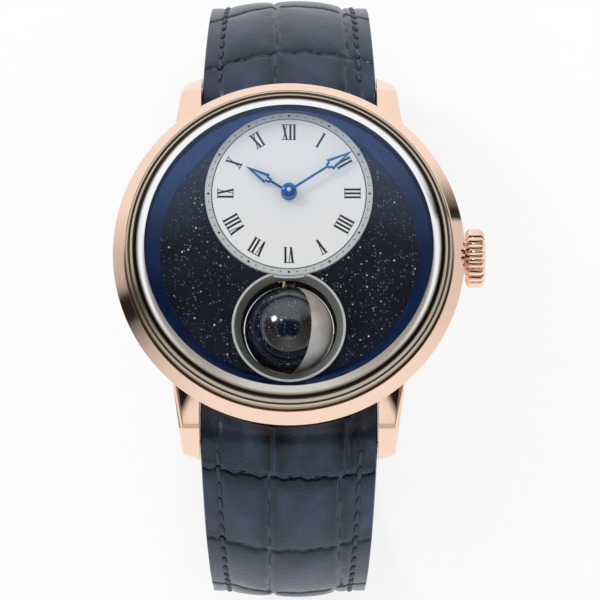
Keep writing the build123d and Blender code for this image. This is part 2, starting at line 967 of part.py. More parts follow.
# Motion works: cannon pinion, minute wheel and hour wheel
cannon_pitch = motion_distance * cannon_teeth / (cannon_teeth + minute_wheel_teeth)
minute_wheel_pitch = motion_distance - cannon_pitch
minute_pinion_pitch = motion_distance * minute_pinion_teeth / (minute_pinion_teeth + hour_wheel_teeth)
hour_wheel_pitch = motion_distance - minute_pinion_pitch
cannon_phase = motion_turn
minute_wheel_phase = meshed_phase(cannon_phase, cannon_teeth, minute_wheel_teeth, motion_turn)
hour_wheel_phase = meshed_phase(0, minute_pinion_teeth, hour_wheel_teeth, motion_turn + 180)
with BuildPart() as cannon_pinion:
    extrude(
        toothed_face(
            Plane(origin=(hands_x, hands_y, cannon_base)), cannon_teeth, cannon_pitch, cannon_phase
        ),
        amount=motion_thickness + running_gap,
    )
    round_slice(hands_x, hands_y, cannon_base, cannon_pipe_radius, minute_hand_base)
    with BuildSketch(Plane.XY.offset(cannon_base)):
        with Locations((hands_x, hands_y)):
            faceted_round(cannon_bore, hole=True)
    extrude(amount=minute_hand_base - cannon_base - hub_rim_height, mode=Mode.SUBTRACT)
keep(cannon_pinion, "cannon_pinion")

with BuildPart() as hour_wheel:
    extrude(
        toothed_face(
            Plane(origin=(hands_x, hands_y, hour_wheel_base)), hour_wheel_teeth, hour_wheel_pitch,
            hour_wheel_phase, bore=cannon_pipe_radius + pivot_gap,
        ),
        amount=motion_thickness,
    )
    round_slice(
        hands_x, hands_y, hour_wheel_base, hour_pipe_radius, hour_hand_base + hand_thickness,
        cannon_pipe_radius + pivot_gap,
    )
keep(hour_wheel, "hour_wheel")

with BuildPart() as minute_wheel:
    extrude(
        toothed_face(
            Plane(origin=(motion_x, motion_y, minute_wheel_base)), minute_wheel_teeth,
            minute_wheel_pitch, minute_wheel_phase,
        ),
        amount=motion_thickness,
    )
    extrude(
        toothed_face(
            Plane(origin=(motion_x, motion_y, minute_wheel_base)), minute_pinion_teeth,
            minute_pinion_pitch, 0,
        ),
        amount=hour_wheel_base + motion_thickness - minute_wheel_base,
    )
    round_slice(motion_x, motion_y, plate_top + end_shake, train_arbor, dial_base - end_shake)
keep(minute_wheel, "minute_wheel")

# Main plate, with a rim that the bridges stand on and a well for the moon
winding_pinion_x = crown_wheel_x + contrate_outer - contrate_wall / 2
works_start = sliding_pinion_start - crown_pull_travel
works_end = winding_pinion_x + winding_pinion_length / 2 + body_gap
with BuildPart() as main_plate:
    with BuildSketch(Plane.XY.offset(bridge_top)):
        Circle(movement_radius)
    extrude(amount=plate_top - bridge_top)
    with BuildSketch(Plane.XY.offset(bridge_top)):
        Circle(movement_radius - plate_rim_width)
    extrude(amount=plate_base - bridge_top, mode=Mode.SUBTRACT)
    with BuildSketch(Plane.XY.offset(bridge_top)):
        with Locations((0, -moon_reach)):
            Circle(moon_well_radius)
        with Locations((0, moon_wheel_start - moon_reach)):
            Rectangle(
                2 * (moon_wheel_pitch + running_gap) + body_gap,
                2 * (moon_wheel_length + body_gap),
            )
        with Locations((hands_x, hands_y)):
            faceted_round(train_arbor + pivot_gap, hole=True)
        with Locations(((works_start + works_end) / 2, 0)):
            Rectangle(works_end - works_start, 2 * (winding_pinion_pitch + body_gap))
    extrude(amount=plate_top - bridge_top, mode=Mode.SUBTRACT)
    with BuildSketch(Plane.YZ.offset(movement_radius / 2)):
        with Locations((0, stem_height)):
            faceted_round(stem_radius + running_gap, hole=True)
    extrude(amount=movement_radius, mode=Mode.SUBTRACT)
    with BuildSketch(Plane.XZ.offset(moon_reach + bearing_start + bearing_length)):
        with Locations((0, moon_height)):
            faceted_round(bearing_radius + fit_gap, hole=True)
    extrude(amount=-2 * (bearing_start + bearing_length), mode=Mode.SUBTRACT)
keep(main_plate, "main_plate")


def bridge_face(points, base):
    """Part of the movement's round outline inside straight edges."""
    with BuildSketch(Plane.XY.offset(base)) as outline:
        with BuildLine():
            Polyline(*points, close=True)
        make_face()
        Circle(bridge_radius, mode=Mode.INTERSECT)
        with Locations((0, -moon_reach)):
            Circle(moon_well_radius + well_gap, mode=Mode.SUBTRACT)
    return outline.sketch


# Barrel bridge, with a groove for the rim of the crown wheel
bridge_height = bridge_top - bridge_base
with BuildPart() as barrel_bridge:
    extrude(
        bridge_face(
            [
                (barrel_bridge_left, barrel_bridge_low),
                (bridge_radius, barrel_bridge_low),
                (bridge_radius, bridge_radius),
                (barrel_bridge_left, bridge_radius),
            ],
            bridge_base,
        ),
        amount=bridge_height,
    )
    chamfer(barrel_bridge.edges().filter_by(Axis.Z), bridge_corner)
    with BuildSketch(Plane.XY.offset(bridge_base)):
        with Locations((crown_wheel_x, 0)):
            faceted_round(contrate_outer + groove_gap, hole=True)
            faceted_round(contrate_outer - contrate_wall - groove_gap, mode=Mode.SUBTRACT)
    extrude(amount=groove_top - bridge_base, mode=Mode.SUBTRACT)
    with BuildSketch(Plane.XY.offset(contrate_top)):
        with Locations((winding_pinion_x, 0)):
            Rectangle(
                winding_pinion_length + body_gap,
                2 * (winding_pinion_pitch + body_gap),
            )
    extrude(amount=bridge_top - contrate_top, mode=Mode.SUBTRACT)
    with BuildSketch(Plane.XY.offset(bridge_base)):
        with Locations((barrel_x, barrel_y)):
            faceted_round(arbor_radius + pivot_gap, hole=True)
    extrude(amount=bridge_height, mode=Mode.SUBTRACT)
keep(barrel_bridge, "barrel_bridge")

# Train bridge, over the wheels at the left
split_edge = barrel_bridge_left - bridge_split
with BuildPart() as train_bridge:
    extrude(
        bridge_face(
            [
                (split_edge, train_bridge_low),
                (split_edge, bridge_radius),
                (-bridge_radius, bridge_radius),
                (-bridge_radius, train_bridge_low),
            ],
            bridge_base,
        ),
        amount=bridge_height,
    )
    chamfer(train_bridge.edges().filter_by(Axis.Z), bridge_corner)
keep(train_bridge, "train_bridge")

# Balance cock: one foot on the plate's rim and an arm over the balance
cock_heading = degrees(atan2(balance_y, balance_x))
cock_length = movement_radius - hypot(balance_x, balance_y)
foot_width = movement_radius - screw_radius + screw_head_radius / 2
cock_plane = Plane(
    origin=(balance_x, balance_y, bridge_base),
    x_dir=(cos(radians(cock_heading)), sin(radians(cock_heading)), 0),
    z_dir=(0, 0, 1),
)
with BuildPart() as balance_cock:
    with BuildSketch(cock_plane):
        with Locations((cock_length / 2, 0)):
            Rectangle(cock_length, cock_width)
        faceted_round(cock_width / 2)
    extrude(amount=cock_thickness)
    with BuildSketch(cock_plane):
        with Locations((cock_length - foot_width / 2, 0)):
            Rectangle(foot_width, 2 * cock_width)
    extrude(amount=bridge_height)
    with BuildSketch(Plane.XY.offset(bridge_base - cut_over)):
        Rectangle(3 * movement_radius, 3 * movement_radius)
        Circle(bridge_radius, mode=Mode.SUBTRACT)
    extrude(amount=bridge_height + 2 * cut_over, mode=Mode.SUBTRACT)
keep(balance_cock, "balance_cock")

# Winding wheels: ratchet wheel, crown wheel and their steel posts
ratchet_phase = winding_turn + 180
crown_wheel_phase = meshed_phase(ratchet_phase, ratchet_teeth, crown_wheel_teeth, winding_turn + 180)
with BuildPart() as ratchet_wheel:
    extrude(
        toothed_face(
            Plane(origin=(barrel_x, barrel_y, winding_wheel_base)), ratchet_teeth, ratchet_pitch,
            ratchet_phase, bore=arbor_radius + fit_gap,
        ),
        amount=winding_wheel_height,
    )
keep(ratchet_wheel, "ratchet_wheel")

with BuildPart() as barrel_arbor:
    round_slice(barrel_x, barrel_y, winding_wheel_base, arbor_radius, plate_base - end_shake)
    round_slice(
        barrel_x, barrel_y, barrel_base + barrel_wall + end_shake, arbor_core_radius,
        barrel_top - barrel_wall - end_shake,
    )
keep(barrel_arbor, "barrel_arbor")

with BuildPart() as crown_wheel:
    extrude(
        toothed_face(
            Plane(origin=(crown_wheel_x, 0, winding_wheel_base)), crown_wheel_teeth,
            crown_wheel_pitch, crown_wheel_phase, bore=arbor_radius + pivot_gap,
        ),
        amount=winding_wheel_height,
    )
    round_slice(
        crown_wheel_x, 0, winding_wheel_base, contrate_outer, contrate_top,
        contrate_outer - contrate_wall,
    )
keep(crown_wheel, "crown_wheel")


def stem_pinion(start, length, teeth, pitch):
    """Add a toothed pinion that rides on the winding stem to the part in hand."""
    plane = Plane(origin=(start, 0, stem_height), x_dir=(0, 1, 0), z_dir=(1, 0, 0))
    extrude(toothed_face(plane, teeth, pitch, 0, bore=stem_radius + pivot_gap), amount=length)


with BuildPart() as winding_pinion:
    stem_pinion(
        winding_pinion_x - winding_pinion_length / 2, winding_pinion_length,
        winding_pinion_teeth, winding_pinion_pitch,
    )
keep(winding_pinion, "winding_pinion")

with BuildPart() as sliding_pinion:
    stem_pinion(
        sliding_pinion_start, sliding_pinion_length, sliding_pinion_teeth, sliding_pinion_pitch
    )
keep(sliding_pinion, "sliding_pinion")

# Setting lever, whose pin sits in the waist of the stem
waist_middle = (stem_waist_start + stem_waist_end) / 2
with BuildPart() as setting_lever:
    with BuildSketch(Plane.XY.offset(lever_base)):
        with Locations((waist_middle, -lever_distance / 2)):
            Rectangle(lever_width, lever_distance + lever_width)
    extrude(amount=lever_thickness)
    with BuildSketch(Plane.XY.offset(lever_base)):
        with Locations((waist_middle, 0)):
            faceted_round(lever_pin_radius)
    extrude(amount=-lever_pin_depth)
keep(setting_lever, "setting_lever")

# Barrel: an open drum with a toothed floor, a cover and the spring inside
floor_base = barrel_top - barrel_wall
centre_pinion_phase = barrel_heading
barrel_phase = meshed_phase(
    centre_pinion_phase, centre_pinion_teeth, barrel_teeth, barrel_heading
)
with BuildPart() as barrel:
    extrude(
        toothed_face(
            Plane(origin=(barrel_x, barrel_y, floor_base)), barrel_teeth, barrel_pitch,
            barrel_phase, bore=arbor_radius + pivot_gap,
        ),
        amount=barrel_wall,
    )
    round_slice(
        barrel_x, barrel_y, barrel_base, barrel_radius, floor_base, barrel_radius - barrel_wall
    )
keep(barrel, "barrel")

with BuildPart() as barrel_cover:
    round_slice(
        barrel_x, barrel_y, barrel_base, barrel_radius - barrel_wall - fit_gap,
        barrel_base + barrel_wall, arbor_radius + pivot_gap,
    )
keep(barrel_cover, "barrel_cover")


def spiral_face(plane, inner, outer, turns, wall):
    """Flat spiral band with straight steps, as a face."""
    steps = turns * spiral_steps
    inside, outside = [], []
    for index in range(steps + 1):
        angle = radians(360 * turns * index / steps)
        middle = inner + (outer - inner) * index / steps
        inside.append(((middle - wall / 2) * cos(angle), (middle - wall / 2) * sin(angle)))
        outside.append(((middle + wall / 2) * cos(angle), (middle + wall / 2) * sin(angle)))
    with BuildSketch(plane) as outline:
        with BuildLine():
            Polyline(*inside, *reversed(outside), close=True)
        make_face()
    return outline.sketch


with BuildPart() as mainspring:
    spring_base = barrel_base + barrel_wall + end_shake
    extrude(
        spiral_face(
            Plane(origin=(barrel_x, barrel_y, spring_base)), mainspring_inner, mainspring_outer,
            mainspring_turns, mainspring_wall,
        ),
        amount=floor_base - end_shake - spring_base,
    )
keep(mainspring, "mainspring")

# Click, a pawl beside the ratchet wheel
click_pivot_x, click_pivot_y = beside(barrel_x, barrel_y, click_distance, click_turn)
ratchet_tip = ratchet_pitch + 2 * ratchet_pitch / ratchet_teeth * tooth_above_share
click_nose_x, click_nose_y = beside(
    barrel_x, barrel_y, ratchet_tip + click_gap, click_turn + degrees(click_length / click_distance)
)
click_base = bridge_base - screw_head_height - end_shake
with BuildPart() as click:
    with BuildSketch(Plane.XY.offset(click_base)):
        with Locations((click_pivot_x, click_pivot_y)):
            faceted_round(click_width / 2)
        with BuildLine():
            heading = radians(click_turn)
            Polyline(
                (
                    click_pivot_x + click_width / 2 * cos(heading),
                    click_pivot_y + click_width / 2 * sin(heading),
                ),
                (click_nose_x, click_nose_y),
                (
                    click_pivot_x - click_width / 2 * cos(heading),
                    click_pivot_y - click_width / 2 * sin(heading),
                ),
                close=True,
            )
        make_face()
    extrude(amount=screw_head_height)
keep(click, "click")


def train_wheel(place, wheel, pinion, top=plate_base - end_shake):
    """Add a spoked wheel, its pinion and their arbor to the part in hand.

    wheel and pinion are each (base, teeth, pitch radius, phase, height).
    """
    x, y = place
    base, teeth, pitch, phase, height = wheel
    extrude(toothed_face(Plane(origin=(x, y, base)), teeth, pitch, phase, spoke_count), amount=height)
    base, teeth, pitch, phase, height = pinion
    extrude(toothed_face(Plane(origin=(x, y, base)), teeth, pitch, phase), amount=height)
    round_slice(x, y, bridge_top + end_shake, train_arbor, top)


# Going train, from the centre wheel to the escape wheel
pinion_drop = (pinion_height - wheel_thickness) / 2
third_pinion_phase = meshed_phase(0, centre_teeth, pinion_leaves, third_turn)
fourth_pinion_phase = meshed_phase(0, third_teeth, pinion_leaves, fourth_turn)
escape_pinion_phase = meshed_phase(0, fourth_teeth, pinion_leaves, escape_turn)
with BuildPart() as centre_wheel:
    train_wheel(
        (hands_x, hands_y),
        (centre_wheel_base, centre_teeth, centre_pitch, 0, wheel_thickness),
        (floor_base, centre_pinion_teeth, centre_pinion_pitch, centre_pinion_phase, barrel_wall),
        top=minute_hand_base - hub_rim_height - end_shake,
    )
keep(centre_wheel, "centre_wheel")

with BuildPart() as third_wheel:
    train_wheel(
        (third_x, third_y),
        (third_wheel_base, third_teeth, third_pitch, 0, wheel_thickness),
        (
            centre_wheel_base - pinion_drop, pinion_leaves, third_pinion_pitch,
            third_pinion_phase, pinion_height,
        ),
    )
keep(third_wheel, "third_wheel")

with BuildPart() as fourth_wheel:
    train_wheel(
        (fourth_x, fourth_y),
        (fourth_wheel_base, fourth_teeth, fourth_pitch, 0, wheel_thickness),
        (
            third_wheel_base - pinion_drop, pinion_leaves, fourth_pinion_pitch,
            fourth_pinion_phase, pinion_height,
        ),
    )
keep(fourth_wheel, "fourth_wheel")

# Escape wheel, with fifteen leaning pointed teeth
with BuildPart() as escape_wheel:
    with BuildSketch(Plane(origin=(escape_x, escape_y, escape_wheel_base))):
        with BuildLine():
            step = 360 / escape_teeth
            corners = []
            for index in range(escape_teeth):
                for lean, radius in ((-escape_lean, escape_root), (escape_lean, escape_radius)):
                    angle = radians(index * step + lean)
                    corners.append((radius * cos(angle), radius * sin(angle)))
            Polyline(*corners, close=True)
        make_face()
        faceted_round(escape_root - wheel_rim, mode=Mode.SUBTRACT)
        Rectangle(2 * escape_root - wheel_rim, 2 * train_arbor)
        Rectangle(2 * train_arbor, 2 * escape_root - wheel_rim)
    extrude(amount=wheel_thickness)
    extrude(
        toothed_face(
            Plane(origin=(escape_x, escape_y, fourth_wheel_base - pinion_drop)), pinion_leaves,
            escape_pinion_pitch, escape_pinion_phase,
        ),
        amount=pinion_height,
    )
    round_slice(escape_x, escape_y, bridge_top + end_shake, train_arbor, plate_base - end_shake)
keep(escape_wheel, "escape_wheel")

# Pallet fork, between the escape wheel and the balance
way = radians(balance_turn)
fork_plane = Plane(
    origin=(pallet_x, pallet_y, pallet_base), x_dir=(cos(way), sin(way), 0), z_dir=(0, 0, 1)
)
with BuildPart() as pallet_fork:
    with BuildSketch(fork_plane):
        with Locations((fork_length / 2, 0)):
            Rectangle(fork_length, fork_width)
        Rectangle(fork_width, 2 * pallet_reach + pallet_width)
        with Locations(
            (-pallet_drop / 2, pallet_reach),
            (-pallet_drop / 2, -pallet_reach),
        ):
            Rectangle(pallet_drop, pallet_width)
        with Locations((fork_length, 0)):
            Rectangle(fork_mouth, 2 * fork_mouth)
        with Locations((fork_length + fork_mouth / 4, 0)):
            Rectangle(fork_mouth / 2, fork_mouth, mode=Mode.SUBTRACT)
    extrude(amount=wheel_thickness)
    round_slice(
        pallet_x, pallet_y, pallet_bridge_base + pallet_bridge_height + end_shake, train_arbor,
        plate_base - end_shake,
    )
keep(pallet_fork, "pallet_fork")

# Pallet bridge, a low bar on two feet
bridge_way = radians(pallet_turn + 90)
pallet_bridge_plane = Plane(
    origin=(pallet_x, pallet_y, pallet_bridge_base),
    x_dir=(cos(bridge_way), sin(bridge_way), 0),
    z_dir=(0, 0, 1),
)
with BuildPart() as pallet_bridge:
    with BuildSketch(pallet_bridge_plane):
        Rectangle(2 * pallet_bridge_half + pallet_bridge_width, pallet_bridge_width)
    extrude(amount=pallet_bridge_height)
    with BuildSketch(pallet_bridge_plane):
        with Locations((pallet_bridge_half, 0), (-pallet_bridge_half, 0)):
            Rectangle(pallet_bridge_width, pallet_bridge_width)
    extrude(amount=plate_base - pallet_bridge_base)
keep(pallet_bridge, "pallet_bridge")

# Balance wheel with its staff and roller
with BuildPart() as balance_wheel:
    with BuildSketch(Plane(origin=(balance_x, balance_y, balance_base))):
        faceted_round(balance_radius)
        faceted_round(balance_radius - balance_rim, hole=True, mode=Mode.SUBTRACT)
        Rectangle(2 * balance_radius - balance_rim, balance_arm_width)
    extrude(amount=balance_thickness)
    round_slice(
        balance_x, balance_y, bridge_base + cock_thickness + end_shake, train_arbor,
        plate_base - end_shake,
    )
    round_slice(
        balance_x, balance_y, pallet_base - end_shake, roller_radius,
        pallet_base + wheel_thickness + end_shake,
    )
keep(balance_wheel, "balance_wheel")

# Hairspring, a flat spiral between the balance and its cock
with BuildPart() as hairspring:
    extrude(
        spiral_face(
            Plane(origin=(balance_x, balance_y, hairspring_base)), hairspring_inner,
            hairspring_outer, hairspring_turns, hairspring_wall,
        ),
        amount=hairspring_height,
    )
    round_slice(
        balance_x, balance_y, hairspring_base, hairspring_inner,
        hairspring_base + hairspring_height, train_arbor + fit_gap,
    )
keep(hairspring, "hairspring")

# Movement ring, between the movement and the case; the clamps hold its lower face
with BuildPart() as movement_ring:
    revolve(
        ring_face(movement_radius + ring_gap, case_bore - ring_gap, bridge_base, dial_base),
        axis=Axis.Z,
    )
    with BuildSketch(Plane.YZ.offset(movement_radius - ring_gap)):
        with Locations((0, stem_height)):
            faceted_round(stem_radius + body_gap, hole=True)
    extrude(amount=case_bore - movement_radius + cut_over, mode=Mode.SUBTRACT)
keep(movement_ring, "movement_ring")

# Casing clamps, from the bridges to the ledge of the movement ring
clamp_turns = (32, 148)
with BuildPart() as casing_clamps:
    for turn in clamp_turns:
        with BuildSketch(Plane.XY.offset(bridge_base - clamp_height)):
            with PolarLocations((clamp_start + clamp_reach) / 2, 1, start_angle=turn):
                Rectangle(clamp_reach - clamp_start, clamp_length)
        extrude(amount=clamp_height)
keep(casing_clamps, "casing_clamps")


def screw_head(x, y, top, turn):
    """Add a slotted screw head, standing away from the bridges, to the part in hand."""
    round_slice(x, y, top - screw_head_height, screw_head_radius, top)
    with BuildSketch(Plane.XY.offset(top - screw_head_height)) as slot:
        with Locations((x, y)):
            Rectangle(2 * screw_head_radius + cut_over, screw_slot, rotation=turn)
    extrude(slot.sketch, amount=screw_slot_depth, mode=Mode.SUBTRACT)


# Screws of the bridges, the cock and the clamps
bridge_screw_turns = (5, 70, 110, 172)
with BuildPart() as bridge_screws:
    for turn in bridge_screw_turns:
        x, y = beside(0, 0, screw_radius, turn)
        screw_head(x, y, bridge_base, turn * 2)
    x, y = beside(0, 0, screw_radius, cock_heading)
    screw_head(x, y, bridge_base, cock_heading * 2)
    for turn in clamp_turns:
        x, y = beside(0, 0, (clamp_start + clamp_reach) / 2, turn)
        screw_head(x, y, bridge_base - clamp_height, turn * 2)
keep(bridge_screws, "bridge_screws")

# Screw that holds the crown wheel on the barrel bridge
with BuildPart() as crown_wheel_screw:
    round_slice(
        crown_wheel_x, 0, winding_wheel_base - screw_head_height - end_shake, wheel_screw_radius,
        winding_wheel_base - end_shake,
    )
    round_slice(crown_wheel_x, 0, winding_wheel_base - end_shake, arbor_radius, bridge_base)
keep(crown_wheel_screw, "crown_wheel_screw")

# Jewels over the train arbors and in the cock
with BuildPart() as jewels:
    for x, y in (
        (hands_x, hands_y), (third_x, third_y), (fourth_x, fourth_y), (escape_x, escape_y),
        (balance_x, balance_y),
    ):
        round_slice(x, y, bridge_base - jewel_height, jewel_radius, bridge_base)
keep(jewels, "jewels")


def strap_section(y, z, heading, width, edge, crown):
    """Face across the strap: flat inside, crowned outside, square to its run."""
    turn = radians(heading)
    plane = Plane(origin=(0, y, z), x_dir=(1, 0, 0), z_dir=(0, cos(turn), sin(turn)))
    half = width / 2
    right = [(half * across, -edge / 2 - crown * rise) for across, rise in strap_crown_shares]
    left = [(-across, level) for across, level in reversed(right)]
    with BuildSketch(plane) as outline:
        with BuildLine():
            Polyline(*left, *right, (half, edge / 2), (-half, edge / 2), close=True)
        make_face()
    return outline.sketch


def strap_rise(share):
    """Height of the crown at a share of the curve: up to its peak, then down to the bend."""
    if share < strap_crown_peak_share:
        climb = share / strap_crown_peak_share
        return strap_head_crown + (strap_crown - strap_head_crown) * climb
    fall = (share - strap_crown_peak_share) / (1 - strap_crown_peak_share)
    return strap_crown + (strap_end_crown - strap_crown) * fall


def strap_run(reach, leave_angle, bend, end_reach):
    """Add one strap half, seen at the twelve o'clock side, to the part in hand.

    It leaves its spring bar at leave_angle below level, curves out to reach,
    turns under in a bend and runs level to end_reach from the middle.
    """
    leave = radians(leave_angle)
    radius = (reach - bar_reach) / (1 - sin(leave))
    centre_y = bar_reach - radius * sin(leave)
    centre_z = bar_height - radius * cos(leave)
    bend_level = bend - strap_floor
    sections = []
    for share in strap_section_shares:
        turn = (90 - leave_angle) * (1 - share)
        sections.append(
            strap_section(
                centre_y + radius * cos(radians(turn)),
                centre_z + radius * sin(radians(turn)),
                turn - 90,
                strap_width + (strap_end_width - strap_width) * share,
                strap_head_edge + (strap_edge - strap_head_edge) * share,
                strap_rise(share),
            )
        )
    loft(sections, ruled=True)
    flat = strap_section(reach, bend_level, -90, strap_end_width, strap_edge, strap_end_crown)
    extrude(flat, amount=bend_level - centre_z)
    revolve(flat, axis=Axis((0, reach - bend, bend_level), (-1, 0, 0)), revolution_arc=90)
    level = strap_section(
        reach - bend, -strap_floor, -180, strap_end_width, strap_edge, strap_end_crown
    )
    extrude(level, amount=reach - bend - end_reach)


def cross_rod(y, z, radius, width, hole=False):
    """Round rod across the strap, or the space for one, as a private solid."""
    with BuildSketch(Plane.YZ.offset(-width / 2)) as outline:
        with Locations((y, z)):
            faceted_round(radius, hole)
    return extrude(outline.sketch, amount=width, mode=Mode.PRIVATE)


# Upper strap half, at twelve o'clock, with an eye for the buckle pin
with BuildPart() as strap_upper:
    strap_run(upper_reach, upper_leave_angle, upper_bend_radius, upper_end_reach)
    add(cross_rod(bar_reach, bar_height, strap_eye_radius, strap_width))
    add(cross_rod(upper_end_reach, -strap_floor, strap_edge / 2, strap_end_width))
    add(
        cross_rod(bar_reach, bar_height, bar_radius + strap_bar_gap, lug_space, hole=True),
        mode=Mode.SUBTRACT,
    )
    add(
        cross_rod(upper_end_reach, -strap_floor, pin_radius + strap_bar_gap, lug_space, hole=True),
        mode=Mode.SUBTRACT,
    )
    with BuildSketch(Plane.XY.offset(-strap_floor - strap_edge)):
        with Locations((0, upper_end_reach)):
            Rectangle(tang_slot_width, 2 * tang_slot_depth)
    extrude(amount=2 * strap_edge, mode=Mode.SUBTRACT)
keep(strap_upper, "strap_upper")

# Lower strap half, at six o'clock, with a rounded tip and holes for the tang
with BuildPart() as strap_lower:
    strap_run(lower_reach, lower_leave_angle, lower_bend_radius, lower_end_reach)
    add(cross_rod(bar_reach, bar_height, strap_eye_radius, strap_width))
    add(
        cross_rod(bar_reach, bar_height, bar_radius + strap_bar_gap, lug_space, hole=True),
        mode=Mode.SUBTRACT,
    )
    tip_corners = strap_lower.edges().filter_by(Axis.Z).group_by(Axis.Y)[0]
    fillet(tip_corners, strap_tip_radius)
    with BuildSketch(Plane.XY.offset(-strap_floor - strap_edge)):
        for index in range(hole_count):
            with Locations((0, lower_end_reach + hole_first + index * hole_spacing)):
                faceted_round(hole_radius)
    extrude(amount=2 * strap_edge, mode=Mode.SUBTRACT)
    mirror(about=Plane.XZ, mode=Mode.REPLACE)
keep(strap_lower, "strap_lower")

# Buckle frame: two arms and a front bar
front_edge = upper_end_reach - buckle_front
with BuildPart() as buckle_frame:
    frame_middle = (front_edge + upper_end_reach + pin_eye) / 2
    frame_length = upper_end_reach + pin_eye - front_edge
    with BuildSketch(Plane.XY.offset(-strap_floor - buckle_thickness / 2)):
        with Locations((0, frame_middle)):
            Rectangle(buckle_width, frame_length)
        with Locations((0, frame_middle + buckle_bar)):
            Rectangle(buckle_inner_width, frame_length, mode=Mode.SUBTRACT)
    extrude(amount=buckle_thickness)
    front_corners = buckle_frame.edges().filter_by(Axis.Z).group_by(Axis.Y)[0]
    fillet(front_corners, buckle_corner)
    chamfer(buckle_frame.faces().sort_by(Axis.Z)[0].outer_wire().edges(), buckle_bevel)
keep(buckle_frame, "buckle_frame")

# Buckle pin, a spring bar between the arms of the frame
with BuildPart() as buckle_pin:
    add(
        cross_rod(
            upper_end_reach, -strap_floor, pin_radius, buckle_inner_width - 2 * fit_gap
        )
    )
keep(buckle_pin, "buckle_pin")

# Tang, hooked round the pin and lying across the outer face of the front bar
with BuildPart() as buckle_tang:
    add(cross_rod(upper_end_reach, -strap_floor, pin_eye, tang_width))
    tang_top = -strap_floor - buckle_thickness / 2 - tang_gap
    with BuildSketch(Plane.XY.offset(tang_top)):
        with BuildLine():
            Polyline(
                (-tang_width / 2, upper_end_reach),
                (-tang_width / 2, front_edge + tang_point),
                (-tang_width / 4, front_edge - tang_point / 2),
                (tang_width / 4, front_edge - tang_point / 2),
                (tang_width / 2, front_edge + tang_point),
                (tang_width / 2, upper_end_reach),
                close=True,
            )
        make_face()
    extrude(amount=-tang_thickness)
    add(
        cross_rod(upper_end_reach, -strap_floor, pin_radius + pivot_gap, 2 * tang_width, hole=True),
        mode=Mode.SUBTRACT,
    )
keep(buckle_tang, "buckle_tang")

# Keepers: two leather loops round the bend of the upper half
bend_y = upper_reach - upper_bend_radius
bend_z = upper_bend_radius - strap_floor
keeper_arc = degrees(keeper_length / upper_bend_radius)
for keeper_name, keeper_turn in (
    ("fixed_keeper", fixed_keeper_turn),
    ("loose_keeper", loose_keeper_turn),
):
    turn = radians(keeper_turn + keeper_arc)
    keeper_plane = Plane(
        origin=(0, bend_y + upper_bend_radius * sin(turn), bend_z - upper_bend_radius * cos(turn)),
        x_dir=(1, 0, 0),
        z_dir=(0, -cos(turn), -sin(turn)),
    )
    inner_height = strap_edge + strap_end_crown + 2 * keeper_gap
    inner_width = strap_end_width + 2 * keeper_gap
    with BuildPart() as keeper:
        with BuildSketch(keeper_plane) as loop:
            with Locations((0, -strap_end_crown / 2)):
                Rectangle(inner_width + 2 * keeper_wall, inner_height + 2 * keeper_wall)
            chamfer(loop.vertices(), keeper_wall / 2)
            with Locations((0, -strap_end_crown / 2)):
                Rectangle(inner_width, inner_height, mode=Mode.SUBTRACT)
        revolve(axis=Axis((0, bend_y, bend_z), (-1, 0, 0)), revolution_arc=keeper_arc)
    keep(keeper, keeper_name)
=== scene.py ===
import json
import logging
import random
from collections.abc import Sequence
from dataclasses import dataclass
from enum import Enum
from math import atan2, cos, degrees, exp, hypot, pi, radians, sin, sqrt, tan

import bmesh
import bpy
from mathutils import Matrix, Vector


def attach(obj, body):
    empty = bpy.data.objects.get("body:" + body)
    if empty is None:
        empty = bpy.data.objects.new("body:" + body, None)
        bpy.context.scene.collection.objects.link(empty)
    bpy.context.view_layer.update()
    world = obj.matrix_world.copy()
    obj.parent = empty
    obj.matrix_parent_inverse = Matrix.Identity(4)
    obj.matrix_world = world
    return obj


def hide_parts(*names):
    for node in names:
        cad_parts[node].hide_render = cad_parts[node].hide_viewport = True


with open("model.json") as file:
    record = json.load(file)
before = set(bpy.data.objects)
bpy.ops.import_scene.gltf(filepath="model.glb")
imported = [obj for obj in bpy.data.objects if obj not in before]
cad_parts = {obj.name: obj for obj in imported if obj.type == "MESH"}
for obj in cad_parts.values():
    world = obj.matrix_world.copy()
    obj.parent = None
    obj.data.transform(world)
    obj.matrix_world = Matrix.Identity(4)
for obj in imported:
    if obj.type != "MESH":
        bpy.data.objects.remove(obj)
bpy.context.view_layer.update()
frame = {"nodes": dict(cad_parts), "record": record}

log = logging.getLogger("watch")

Point2 = tuple[float, float]
Point3 = tuple[float, float, float]
Profile = tuple[Point2, ...]
Stops = Sequence[tuple[float, str]]
Tree, Node, Socket = bpy.types.NodeTree, bpy.types.Node, bpy.types.NodeSocket
Shape, Vert, Piece = bmesh.types.BMesh, bmesh.types.BMVert, bpy.types.Object
Feed = float | tuple[float, ...] | Socket

MM = 0.001
WELD = 0.0005
CLOSE = 0.01
FINE_STEPS = 192
HOURS_CENTRE: Point2 = (0.0, 7.3)
HOURS_CUT = 10.53
MOON_CENTRE: Point2 = (0.0, -9.63)


# ---------------------------------------------------------------------------------------
# Small tools for nodes and meshes
# ---------------------------------------------------------------------------------------


def paint(code: str) -> tuple[float, float, float, float]:
    """Turns an sRGB hex colour into the linear values that nodes take.

    Args:
        code: Six hex digits after a hash sign.

    Returns:
        Linear red, green and blue, and an alpha of 1.
    """
    parts = [int(code[i : i + 2], 16) / 255 for i in (1, 3, 5)]
    lin = [c / 12.92 if c <= 0.04045 else ((c + 0.055) / 1.055) ** 2.4 for c in parts]
    return (lin[0], lin[1], lin[2], 1.0)


def grey(level: float) -> str:
    """Gives the hex colour of a grey whose linear value is a level from 0 to 1."""
    value = 12.92 * level if level <= 0.0031308 else 1.055 * level ** (1 / 2.4) - 0.055
    return "#" + f"{round(255 * value):02x}" * 3


